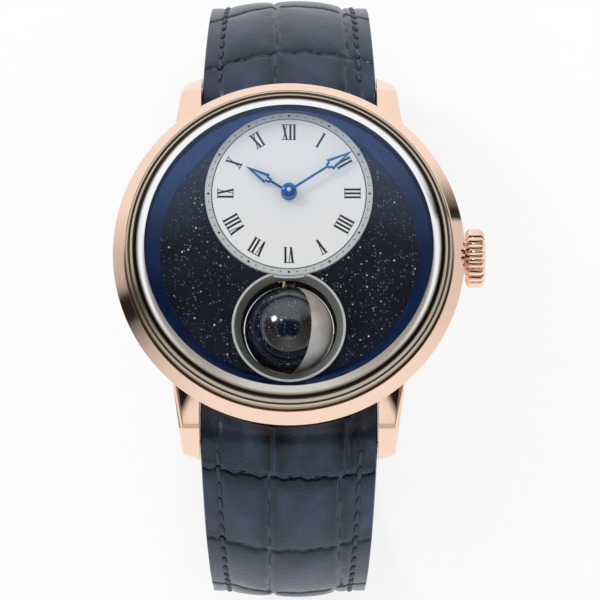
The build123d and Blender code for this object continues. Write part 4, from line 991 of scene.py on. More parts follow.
@dataclass
class Crystal:
    """The domed sapphire over the dial, with its stepped edge."""

    edge_outer: Profile = (
        (20.35, 11.35), (20.35, 12.95), (20.02, 13.3), (19.9, 13.16), (19.82, 13.24),
        (19.42, 13.72), (19.34, 13.62), (19.04, 13.78), (18.92, 14.1), (18.4, 14.52),
        (17.9, 14.82),
    )
    edge_inner: Profile = ((17.9, 13.8), (18.6, 12.9), (18.6, 11.35))
    dome_radius: float = 17.9
    dome_top: float = 15.9
    dome_under: float = 14.9
    dome_points: int = 12
    clear: Finish = ClearSapphire()
    # The edge's finish carries painted reflection rings.
    rim: Finish = SapphireEdge()

    def curve(self, top: float, edge: float) -> list[Point2]:
        """Gives a dome's half section from the middle outwards.

        Args:
            top: Height in the middle.
            edge: Height at the dome's radius.

        Returns:
            Radius and height of each point.
        """
        shares = [step / self.dome_points for step in range(self.dome_points + 1)]
        return [(self.dome_radius * share, top - (top - edge) * share**2) for share in shares]

    def build(self) -> None:
        """Builds the clear dome and the edge ring as one closed glass of two finishes."""
        dome = self.curve(self.dome_top, self.edge_outer[-1][1])[-2::-1]
        under = self.curve(self.dome_under, self.edge_inner[0][1])
        shape = turned([*self.edge_outer, *dome, *under, *self.edge_inner[1:]])
        bmesh.ops.remove_doubles(shape, verts=shape.verts, dist=WELD)
        for face in shape.faces:
            middle = face.calc_center_median()
            face.material_index = int(hypot(middle.x, middle.y) > self.dome_radius - CLOSE)
        settle(
            "front_glass", shape, [self.clear, self.rim], "case", ["front_crystal"]
        )


@dataclass
class Crown:
    """The fluted winding crown."""

    axis_height: float = 7.3
    start: float = 22.05
    profile: Profile = (
        (0.0, 0.0), (3.05, 0.0), (3.35, 0.25), (3.7, 0.45), (3.7, 1.9), (3.45, 2.25),
        (3.0, 2.45), (2.6, 2.5), (1.6, 2.62), (0.0, 2.65),
    )
    rib_from: float = 3.3
    rib_depth: float = 0.42
    rib_count: int = 20
    rib_fullness: float = 0.6
    steps: int = 240

    def build(self) -> None:
        """Turns the crown and sinks the flutes between its ribs."""
        shape = turned(self.profile, closed=False, steps=self.steps)
        bmesh.ops.remove_doubles(shape, verts=shape.verts, dist=WELD)
        for vert in shape.verts:
            reach = hypot(vert.co.x, vert.co.y)
            if reach > self.rib_from:
                turn = atan2(vert.co.y, vert.co.x)
                wave = abs(sin(turn * self.rib_count / 2)) ** self.rib_fullness
                vert.co.xy *= (reach - self.rib_depth * (1 - wave)) / reach
        tilt_about(shape, shape.verts, (0, 1, 0), 90)
        bmesh.ops.translate(shape, vec=(self.start, 0, self.axis_height), verts=shape.verts)
        settle("crown_knob", shape, [RoseGold()], "crown_set", ["crown"], smooth=50)


@dataclass
class Dial:
    """The blue flange, the hours dial with its minute ring, and the print on them.

    Each Roman sign has strokes: the side of the foot, the side of the head, the width.
    """

    flange: Profile = (
        (16.1, 10.81), (16.1, 10.95), (17.84, 12.5), (18.5, 12.5), (18.5, 9.9), (17.73, 9.9),
        (17.73, 10.81),
    )
    moon_cut: float = 7.11
    cut_low: float = 10.79
    cut_high: float = 14.0
    disc_radius: float = 9.6
    disc_low: float = 10.8
    disc_high: float = 11.56
    disc_edge: float = 0.05
    ring: Profile = ((9.72, 10.8), (10.5, 10.8), (10.5, 11.5), (9.72, 11.5))
    ring_ease: float = 0.05
    print_height: float = 0.02
    numeral_inner: float = 6.92
    numeral_height: float = 2.03
    numerals: str = "XII I II III IIII V VI VII VIII IX X XI"
    widths: tuple[tuple[str, float], ...] = (("I", 0.5), ("V", 0.86), ("X", 0.86))
    width_gap: float = 0.2
    strokes: tuple[tuple[str, tuple[Point3, ...]], ...] = (
        ("I", ((0, 0, 0.26),)), ("V", ((0, -1, 0.26), (0, 1, 0.1))),
        ("X", ((1, -1, 0.26), (-1, 1, 0.1))),
    )
    serif: float = 0.09
    serif_width: float = 0.44
    dot_circle: float = 10.08
    dot_radius: float = 0.085
    hour_dot_radius: float = 0.15
    dot_sides: int = 14

    def build(self) -> None:
        """Builds the flange, disc, ring, numerals and dots."""
        flange = settle(
            "dial_flange_ring", turned(self.flange), [BlueLacquer()], "case",
            ["dial_flange"],
        )
        for centre, radius in ((HOURS_CENTRE, HOURS_CUT), (MOON_CENTRE, self.moon_cut)):
            bore(flange, drum(radius, self.cut_low, self.cut_high, centre))
        radius, high, edge = self.disc_radius, self.disc_high, self.disc_edge
        profile = (
            (0.0, self.disc_low), (radius, self.disc_low), (radius, high - edge),
            (radius - edge, high), (0.0, high),
        )
        disc = turned(profile, closed=False, centre=HOURS_CENTRE)
        settle("hours_disc", disc, [OpalineDial()], "case", ["hours_dial"])
        ring = turned(self.ring, centre=HOURS_CENTRE)
        ease(ring, self.ring_ease)
        settle("minute_track", ring, [ChapterRing()], "case", ["minute_ring"])
        self.print_numerals()
        self.print_dots()

    def stroke(self, shape: Shape, a: Point2, b: Point2, width: float) -> None:
        """Adds one printed stroke with level ends, raised from the disc.

        Args:
            shape: Mesh that gets the stroke.
            a: Middle of its lower end.
            b: Middle of its upper end.
            width: Width measured level.
        """
        half = width / 2
        outline = (
            (a[0] - half, a[1]), (a[0] + half, a[1]), (b[0] + half, b[1]), (b[0] - half, b[1]),
        )
        prism(outline, self.disc_high, self.disc_high + self.print_height, shape)

    def letter(self, shape: Shape, sign: str, x: float, width: float) -> None:
        """Adds one Roman sign with its serifs.

        Args:
            shape: Mesh that gets the sign.
            sign: I, V or X.
            x: Middle of the sign.
            width: Room that the sign takes.
        """
        top, serif, reach = self.numeral_height, self.serif, width / 2 - self.width_gap
        for foot_side, head_side, wide in dict(self.strokes)[sign]:
            foot, head = x + foot_side * reach, x + head_side * reach
            self.stroke(shape, (foot, 0), (head, top), wide)
            self.stroke(shape, (head, top - serif), (head, top), self.serif_width)
            if sign != "V":
                self.stroke(shape, (foot, 0), (foot, serif), self.serif_width)

    def print_numerals(self) -> None:
        """Prints the twelve numerals, each with its top turned outwards."""
        shape = bmesh.new()
        widths = dict(self.widths)
        for hour, word in enumerate(self.numerals.split()):
            before = set(shape.verts)
            x = -sum(widths[sign] for sign in word) / 2
            for sign in word:
                self.letter(shape, sign, x + widths[sign] / 2, widths[sign])
                x += widths[sign]
            fresh = [v for v in shape.verts if v not in before]
            bmesh.ops.translate(shape, vec=(0, self.numeral_inner, 0), verts=fresh)
            tilt_about(shape, fresh, (0, 0, 1), -30 * hour)
        bmesh.ops.translate(shape, vec=(*HOURS_CENTRE, 0), verts=shape.verts)
        settle("hour_numerals", shape, [DialInk()], "case", weld=0)

    def print_dots(self) -> None:
        """Prints sixty dots on the minute ring, larger at every fifth."""
        shape = bmesh.new()
        x, y = HOURS_CENTRE
        for minute in range(60):
            turn = radians(6 * minute)
            size = self.dot_radius if minute % 5 else self.hour_dot_radius
            verts = bmesh.ops.create_circle(
                shape, cap_ends=True, segments=self.dot_sides, radius=size
            )["verts"]
            tops = grow(shape, [verts[0].link_faces[0]], (0, 0, self.print_height))
            spot = (
                x + self.dot_circle * sin(turn), y + self.dot_circle * cos(turn),
                self.ring[2][1],
            )
            bmesh.ops.translate(shape, vec=spot, verts=verts + tops)
        settle("minute_dots", shape, [DialInk()], "case", weld=0)


@dataclass
class MoonDisplay:
    """The turning moon globe in two halves and the ring that frames it."""

    axle_height: float = 8.5
    radius: float = 5.55
    light_turn: float = 30.5
    gap: float = 0.01
    ring: Profile = (
        (7.08, 10.8), (7.08, 11.35), (6.8, 11.35), (5.95, 10.65), (5.95, 10.5), (6.27, 10.5),
        (6.27, 10.8),
    )
    ring_ease: float = 0.03
    rim_depth: float = 0.05
    cut_low: float = 9.0
    cut_high: float = 13.0
    neck: Profile = (
        (HOURS_CUT + 0.02, 10.8), (HOURS_CUT + 0.3, 10.8), (HOURS_CUT + 0.3, 11.34),
        (HOURS_CUT + 0.02, 11.34),
    )
    neck_half_angle: float = 10.2
    # Section of the black ring of painted shade in the well.
    shade: Profile = ((5.62, 8.86), (6.24, 8.86), (6.24, 8.96), (5.62, 8.96))
    shade_sweep: float = 164.0
    starry: Finish = Aventurine(
        title="aventurine globe, polished", flake_pitch=0.4, roughness=0.12, ior=1.77, coat=1.0
    )
    # The ring's top band and neck are painted lighter as a highlight, its cone darker as shade:
    # lit and shaded copies of one steel.
    bright: Finish = Steel(
        title="steel rim, satin, painted highlight", colour="#dcddda", metallic=0.3, roughness=0.35
    )
    dark: Finish = Steel(
        title="steel cone, brushed, painted shade", colour="#8b908c", metallic=0.8, roughness=0.36
    )

    def build(self) -> None:
        """Builds the two half globes, the framing ring, its neck, and a black ring of painted
        shade in the well round the globe.
        """
        turn = radians(self.light_turn)
        way = Vector((cos(turn), 0, -sin(turn)))
        for name, sign, finish, slot, node in (
            ("moon_light_half", 1, MoonStone(), "moon_stone", "moon_globe_light"),
            ("moon_dark_half", -1, self.starry, "aventurine", "moon_globe_dark"),
        ):
            shape = bmesh.new()
            bmesh.ops.create_uvsphere(shape, u_segments=96, v_segments=64, radius=self.radius)
            tilt_about(shape, shape.verts, (1, 0, 0), 90)
            slice_off(shape, way * sign * self.gap, way * sign, "clear_inner")
            centre = (*MOON_CENTRE, self.axle_height)
            bmesh.ops.translate(shape, vec=centre, verts=shape.verts)
            settle(name, shape, [finish], "moon", [node], smooth=40)
        ring = settle(
            "moon_frame_ring", self.ring_shape(), [self.dark, self.bright], "case",
            ["moon_ring"],
        )
        bore(ring, drum(HOURS_CUT, self.cut_low, self.cut_high, HOURS_CENTRE))
        half = self.neck_half_angle
        neck = turned(self.neck, centre=HOURS_CENTRE, start=-90 - half, sweep=2 * half, steps=24)
        settle("moon_ring_neck", neck, [self.bright], "case")
        # Painted shade: a black ring in rubber finish, laid in the well round the globe where
        # only shade falls.
        shade = bmesh.new()
        for middle in (0, 180):
            turned(
                self.shade, shade, centre=MOON_CENTRE, start=middle - self.shade_sweep / 2,
                sweep=self.shade_sweep, steps=64,
            )
        settle("moon_well_shade", shade, [Gasket()], "case")

    def ring_shape(self) -> Shape:
        """Turns the framing ring, with its top band marked for the lighter steel of a painted
        highlight and the rest for the darker steel of a painted shade.

        Returns:
            The ring with its edges eased.
        """
        shape = turned(self.ring, centre=MOON_CENTRE)
        ease(shape, self.ring_ease)
        top = max(height for _, height in self.ring)
        # The top band gets the painted highlight, the cone the painted shade.
        for face in shape.faces:
            face.material_index = int(face.calc_center_median().z > top - self.rim_depth)
        return shape


@dataclass
class Hand:
    """One open lance hand, drawn pointing to twelve and then turned.

    The insets place the inner outline of the frame, and each step of the hub has a
    distance in from its wall and one down from its top.
    """

    name: str
    node: str
    body: str
    base: float
    tip: float
    corner: float
    notch: float
    half_width: float
    hub: float
    hub_top: float
    turn: float
    thickness: float = 0.16
    stalk_half: float = 0.14
    stalk_start: float = 0.2
    frame_width: float = 0.22
    foot_share: float = 0.5
    corner_drop: float = 0.1
    insets: Point3 = (1.6, 0.6, 0.4)
    hub_sink: float = 0.15
    hub_steps: Profile = ((0.0, 0.3), (0.12, 0.1), (0.4, 0.0))

    def build(self) -> None:
        """Builds the frame of the head, the stalk and the hub."""
        shape = bmesh.new()
        half, corner, frame_width = self.half_width, self.corner, self.frame_width
        low, high = self.notch - frame_width / 2, self.notch + frame_width / 2
        foot, stalk = self.foot_share * half, self.stalk_half
        outer = [
            (0.0, self.tip), (half, corner), (foot, corner - self.corner_drop), (foot, low),
            (stalk, low),
        ]
        slope = (self.tip - corner) / half
        point = self.tip - frame_width * sqrt(1 + slope * slope)
        aside, over, shoulder = (frame_width * inset for inset in self.insets)
        inner = [
            (0.0, point), (half - aside, corner + over), (foot - frame_width, corner + shoulder),
            (foot - frame_width, high), (0.0, high),
        ]
        top = self.base + self.thickness
        for side in (1, -1):
            for i in range(4):
                corners = (outer[i], outer[i + 1], inner[i + 1], inner[i])
                prism([(side * x, y) for x, y in corners], self.base, top, shape)
        start = self.stalk_start
        outline = ((-stalk, start), (stalk, start), (stalk, high), (-stalk, high))
        prism(outline, self.base, top, shape)
        floor = self.base - self.hub_sink
        steps = [(self.hub - inset, self.hub_top - drop) for inset, drop in self.hub_steps]
        hub = [(0.0, floor), (self.hub, floor), *steps, (0.0, self.hub_top)]
        turned(hub, shape, closed=False, steps=64)
        tilt_about(shape, shape.verts, (0, 0, 1), self.turn)
        bmesh.ops.translate(shape, vec=(*HOURS_CENTRE, 0), verts=shape.verts)
        settle(self.name, shape, [BluedSteel()], self.body, [self.node])


@dataclass
class Pivot:
    """The polished pivot in the middle of the minute hand, painted near white as its highlight.
    """

    profile: Profile = ((0.0, 13.5), (0.27, 13.5), (0.27, 13.64), (0.18, 13.7), (0.0, 13.72))
    # Its near-white, half-metallic steel is a painted highlight on a real pivot.
    steel: Finish = Steel(
        title="steel pivot, satin, painted highlight", colour="#eceded", metallic=0.4, roughness=0.3
    )

    def build(self) -> None:
        """Turns the pivot."""
        shape = turned(self.profile, closed=False, steps=32, centre=HOURS_CENTRE)
        settle("minute_pivot", shape, [self.steel], "minute_hand_set")


@dataclass
class StrapHalf:
    """One half of the padded strap, laid along the path of its solid.

    Each row is a groove across the strap: its place at the left, middle and right. Each
    entry of the columns holds the grooves along the strap in one row of scales, with their
    places where they begin and end. A ripple has a height and its rates across and along.
    """

    name: str
    node: str
    body: str
    side: int
    leave_angle: float
    bow: float
    bend: float
    end_reach: float
    tip_radius: float
    rows: tuple[Point3, ...]
    columns: tuple[Profile, ...]
    slot: Point2 = (0.0, 0.0)
    holes: tuple[float, ...] = ()
    hole_radius: float = 0.75
    bar_reach: float = 23.0
    bar_height: float = 3.4
    case_radius: float = 20.75
    eye: float = 1.65
    floor: float = 39.0
    width: float = 22.2
    end_width: float = 20.0
    head_edge: float = 3.0
    edge: float = 2.2
    edge_bulge: float = 0.12
    nose: tuple[float, ...] = (0.45, 0.8, 0.93, 0.99)
    head_crown: float = 0.6
    crown: float = 1.3
    end_crown: float = 0.4
    crown_fade: float = 6.0
    crown_start: float = 3.0
    padding: float = 2.4
    margin: float = 2.15
    margin_rise: float = 0.06
    margin_groove: float = 0.16
    margin_groove_half: float = 0.5
    groove_half: float = 0.25
    groove_depth: float = 0.24
    ripples: tuple[Point3, ...] = ((0.12, 1.9, 0.7), (0.07, 4.3, -2.1))
    column_ripple: Point2 = (0.06, 1.7)
    end_row: float = 5.0
    pillow_half: float = 1.5
    pillow_depth: float = 0.3
    pillow_fade: float = 1.2
    pillow_least: float = 0.15
    stitch_pitch: float = 2.1
    stitch_start: float = 1.2
    stitch_end: float = 3.0
    stitch_size: Point3 = (0.62, 1.95, 0.5)
    stitch_slant: float = 9.0
    stitch_wander: float = 3.0
    stitch_sink: float = 0.1
    fine_length: float = 33.0
    fine_rows: int = 170
    coarse_rows: int = 70
    top_columns: int = 112
    under_columns: int = 14
    edge_columns: int = 2
    seed: int = 11

    def __post_init__(self) -> None:
        """Works out the lengths of the path's parts."""
        leave = radians(self.leave_angle)
        self.radius = self.bow / (1 - sin(leave))
        self.reach = self.bar_reach + self.bow
        self.centre = (
            self.bar_reach - self.radius * sin(leave), self.bar_height - self.radius * cos(leave)
        )
        self.start_turn = pi / 2 - leave
        self.arc = self.radius * self.start_turn
        self.fall = self.centre[1] - (self.bend - self.floor)
        self.bend_length = self.bend * pi / 2
        self.level = self.reach - self.bend - self.end_reach
        self.length = self.arc + self.fall + self.bend_length + self.level

    def path(self, s: float) -> Point3:
        """Gives the middle line at a length from the spring bar.

        Args:
            s: Length along the path; negative is behind the bar.

        Returns:
            Reach, height and the outward direction's angle above level in radians.
        """
        if s < 0:
            leave, back = pi / 2 - self.start_turn, max(s, -self.eye)
            rise = -tan(leave) * (back + back * back / (2 * self.eye))
            turn = pi / 2 - leave * (1 + back / self.eye)
            return self.bar_reach + s, self.bar_height + rise, turn
        if s <= self.arc:
            turn = self.start_turn - s / self.radius
            y, z = self.centre
            return y + self.radius * cos(turn), z + self.radius * sin(turn), turn
        s -= self.arc
        if s <= self.fall:
            return self.reach, self.centre[1] - s, 0.0
        s -= self.fall
        bend_y, bend_z = self.reach - self.bend, self.bend - self.floor
        if s <= self.bend_length:
            turn = -s / self.bend
            return bend_y + self.bend * cos(turn), bend_z + self.bend * sin(turn), turn
        s -= self.bend_length
        return bend_y - s, -self.floor, -pi / 2

    def section(self, s: float) -> Point3:
        """Gives the section's sizes at a length from the spring bar.

        Args:
            s: Length along the path.

        Returns:
            Half the width, half the edge's thickness and the crown's height.
        """
        share = min(max(s / self.arc, 0.0), 1.0)
        half = (self.width + (self.end_width - self.width) * share) / 2
        edge = (self.head_edge + (self.edge - self.head_edge) * share) / 2
        crown = self.head_crown + (self.crown - self.head_crown) * share
        later = min(max((s - self.arc) / self.fall / self.crown_fade, 0.0), 1.0)
        crown += (self.end_crown - self.crown) * later
        crown *= min(max(1 + s / self.crown_start, 0.0), 1.0)
        left = self.length - s
        if self.tip_radius and left < self.tip_radius:
            half -= self.tip_radius - sqrt(self.tip_radius**2 - (self.tip_radius - left) ** 2)
        if left < edge:
            edge *= sqrt(max(1 - (1 - left / edge) ** 2, 0.01))
        return half, edge, crown

    def groove(self, x: float, s: float) -> float:
        """Gives the distance from a point to the nearest groove between the scales.

        Args:
            x: Place across the strap.
            s: Length along the strap.

        Returns:
            Distance in millimetres.
        """
        u = x / (self.width / 2)
        wobble = sum(height * sin(a * x + b * s) for height, a, b in self.ripples)
        levels = []
        for left, middle, right in self.rows:
            bow = (middle - (left + right) / 2) * (1 - u * u)
            levels.append(left + (right - left) * (u + 1) / 2 + bow + wobble)
        nearest = min(abs(s - level) for level in levels)
        row = sum(s > level for level in levels)
        low = levels[row - 1] if row else s - self.end_row
        high = levels[row] if row < len(levels) else s + self.end_row
        share = (s - low) / max(high - low, 0.1)
        height, rate = self.column_ripple
        for begin, end in self.columns[row]:
            drift = begin + (end - begin) * share + height * sin(rate * s + begin)
            nearest = min(nearest, abs(x - drift))
        return nearest

    def rise(self, x: float, half: float) -> float:
        """Gives the share of the crown at a place across: flat margins, a padded middle.

        Args:
            x: Place across the strap.
            half: Half the strap's width there.

        Returns:
            Share from 0 to 1.
        """
        room, low = half - self.margin, 2 * self.margin_rise
        if abs(x) >= room:
            return self.margin_rise * (1 + (half - abs(x)) / self.margin)
        return low + (1 - low) * (1 - (1 - (room - abs(x)) / room) ** self.padding)

    def point(self, x: float, s: float, out: float) -> Vector:
        """Gives the place of a point of the strap.

        Args:
            x: Place across.
            s: Length along the middle line.
            out: Height over the middle line, outwards.

        Returns:
            The point in the solids' frame.
        """
        y, z, turn = self.path(s)
        return Vector((x, self.side * (y + out * cos(turn)), z + out * sin(turn)))

    def along(self, row: float, x: float = 0.0) -> float:
        """Gives the length along the strap of a row of points, denser near the case.

        Args:
            row: Number of the row.
            x: Place across; the first row follows the round case.

        Returns:
            Length along the path.
        """
        if row <= self.fine_rows:
            start = sqrt(self.case_radius**2 - x * x) - self.bar_reach
            return start + (self.fine_length - start) * row / self.fine_rows
        share = (row - self.fine_rows) / self.coarse_rows
        return self.fine_length + (self.length - self.fine_length) * share

    def relief(self, x: float, s: float) -> Point3:
        """Gives the height of the padded face over the edge and the marks of its leather.

        Args:
            x: Place across the strap.
            s: Length along the strap.

        Returns:
            The height, the nearness of a groove and that of a scale's rim.
        """
        half, _, crown = self.section(s)
        near = self.groove(x, s)
        line, rim = exp(-((near / self.groove_half) ** 2)), exp(-near / self.pillow_half)
        inside = (half - self.margin - abs(x)) / self.pillow_fade
        out = crown * self.rise(x, half) - self.groove_depth * line
        out -= self.pillow_depth * min(max(inside, self.pillow_least), 1.0) * rim
        seam = (abs(x) - half + self.margin) / self.margin_groove_half
        return out - self.margin_groove * exp(-(seam**2)), line, rim

    def build(self) -> Piece:
        """Builds the strap half and its stitches.

        The columns of the grid run over the left edge, the padded face, the right edge and
        the lining.

        Returns:
            The padded leather piece.
        """
        left = self.edge_columns
        right = left + self.top_columns
        under = right + self.edge_columns
        columns, rows = under + self.under_columns, self.fine_rows + self.coarse_rows
        shape = bmesh.new()
        bmesh.ops.create_grid(shape, x_segments=columns, y_segments=rows, size=0.5)
        # These attributes mask the leather's painted shade at scale rims and groove walls, and
        # the grooves' blue floor.
        groove_and_shade_layer = shape.verts.layers.float.new("groove")
        rim_shade_layer = shape.verts.layers.float.new("rim")
        uv_layer = shape.loops.layers.uv.new("strap")
        places = {
            vert: (round((vert.co.x + 0.5) * columns), round((vert.co.y + 0.5) * rows))
            for vert in shape.verts
        }
        for face in shape.faces:
            middle = sum(places[v][0] for v in face.verts) / 4
            face.material_index = 0 if left <= middle <= right else 1
            for loop in face.loops:
                column, row = places[loop.vert]
                across = column * self.width / self.top_columns
                loop[uv_layer].uv = (across / 10, self.along(row) / 10)
        for vert, (column, row) in places.items():
            if column <= under:
                spread = min(max((column - left) / self.top_columns * 2 - 1, -1.0), 1.0)
            else:
                spread = 1 - (column - under) / self.under_columns * 2
            s = self.along(row, spread * self.width / 2)
            half, edge, _ = self.section(s)
            if row < len(self.nose):
                edge *= self.nose[row]
            bulge = self.edge_bulge * edge
            if column <= left:
                x, out = -half + (bulge if column != 1 else 0.0), edge * (column - 1)
            elif column < right:
                x = spread * half
                height, vert[groove_and_shade_layer], vert[rim_shade_layer] = self.relief(x, s)
                out = edge + height
            elif column <= under:
                x = half - (bulge if column != right + 1 else 0.0)
                out = edge * (right + 1 - column)
            else:
                x, out = spread * (half - bulge), -edge
            vert.co = self.point(x, s, out)
        bmesh.ops.remove_doubles(shape, verts=shape.verts, dist=0.001)
        bmesh.ops.holes_fill(shape, edges=[e for e in shape.edges if e.is_boundary], sides=0)
        piece = settle(
            self.name, shape, [CrocodileLeather(), PlainLeather()], self.body,
            [self.node], smooth=60, weld=0,
        )
        self.pierce(piece)
        self.stitch()
        return piece

    def pierce(self, piece: Piece) -> None:
        """Cuts the slot at the buckle, or the row of holes for the tang.

        Args:
            piece: The padded leather of this half.
        """
        cutter = bmesh.new()
        deep = 4 * self.edge
        for reach in self.holes:
            made = bmesh.ops.create_cone(
                cutter, cap_ends=True, segments=20, radius1=self.hole_radius,
                radius2=self.hole_radius, depth=deep,
            )["verts"]
            bmesh.ops.translate(cutter, vec=(0, self.side * reach, -self.floor), verts=made)
        if any(self.slot):
            made = bmesh.ops.create_cube(cutter, size=1.0)["verts"]
            bmesh.ops.scale(cutter, vec=(*self.slot, deep), verts=made)
            spot = (0, self.side * self.end_reach, -self.floor)
            bmesh.ops.translate(cutter, vec=spot, verts=made)
        bore(piece, cutter, "MANIFOLD")

    def stitch(self) -> None:
        """Lays thick thread stitches in both margins."""
        shape = bmesh.new()
        chance = random.Random(self.seed)
        count = int((self.length - self.tip_radius - self.stitch_end) / self.stitch_pitch)
        for edge_side in (-1, 1):
            for index in range(count):
                s = self.stitch_start + index * self.stitch_pitch
                half, edge, crown = self.section(s)
                x = edge_side * (half - self.margin)
                verts = bmesh.ops.create_uvsphere(
                    shape, u_segments=8, v_segments=6, radius=0.5
                )["verts"]
                bmesh.ops.scale(shape, vec=self.stitch_size, verts=verts)
                slant = edge_side * self.stitch_slant
                slant += chance.uniform(-self.stitch_wander, self.stitch_wander)
                tilt_about(shape, verts, (0, 0, 1), slant)
                seat = edge + 2 * self.margin_rise * crown - self.stitch_sink
                for vert in verts:
                    vert.co = self.point(x + vert.co.x, s + vert.co.y, seat + vert.co.z)
        settle(
            self.name + "_stitches", shape, [LinenThread()], self.body, smooth=80,
            weld=0,
        )


@dataclass
class Keeper:
    """A leather loop round the strap, laid along its bend."""

    name: str
    node: str
    body: str
    turn: float
    strap: StrapHalf
    length: float = 4.5
    wall: float = 0.9
    gap: float = 0.12
    corner: float = 0.55
    corner_growth: float = 0.8
    corner_steps: int = 5
    steps: int = 14

    def loop(self, room: float) -> list[Point2]:
        """Gives the rounded outline of the loop.

        Args:
            room: Distance outside the strap's section.

        Returns:
            Points across and outwards.
        """
        across = self.strap.end_width / 2 + room
        low = -self.strap.edge / 2 - room
        high = self.strap.edge / 2 + self.strap.end_crown + room
        round_off = self.corner + room * self.corner_growth
        points = []
        for x_side, z_side, first in ((1, 1, 0), (-1, 1, 90), (-1, -1, 180), (1, -1, 270)):
            ox = x_side * (across - round_off)
            oz = (high if z_side > 0 else low) - z_side * round_off
            for step in range(self.corner_steps + 1):
                a = radians(first + 90 * step / self.corner_steps)
                points.append((ox + round_off * cos(a), oz + round_off * sin(a)))
        return points

    def build(self) -> None:
        """Builds the loop by turning its section round the bend."""
        strap = self.strap
        shape = bmesh.new()
        across = strap.end_width / 2 + self.gap
        low, high = -strap.edge / 2 - self.gap, strap.edge / 2 + strap.end_crown + self.gap
        flat = [
            (max(min(x, across), -across), max(min(z, high), low)) for x, z in self.loop(self.gap)
        ]
        first = radians(self.turn) - pi / 2
        centre = (0.0, strap.reach - strap.bend, strap.bend - strap.floor)
        way = Vector((0, cos(first), sin(first)))
        inside, outside = (
            [shape.verts.new(Vector(centre) + Vector((x, 0, 0)) + way * (strap.bend + z))
             for x, z in points]
            for points in (flat, self.loop(self.gap + self.wall))
        )
        faces = [
            shape.faces.new((inside[i - 1], inside[i], outside[i], outside[i - 1]))
            for i in range(len(inside))
        ]
        geometry = faces + [e for f in faces for e in f.edges] + inside + outside
        bmesh.ops.spin(
            shape, geom=list(dict.fromkeys(geometry)), cent=centre, axis=(1, 0, 0),
            angle=self.length / strap.bend, steps=self.steps, use_merge=False,
            use_duplicate=False,
        )
        settle(self.name, shape, [PlainLeather()], self.body, [self.node], smooth=40)


# ---------------------------------------------------------------------------------------
# The studio
# ---------------------------------------------------------------------------------------


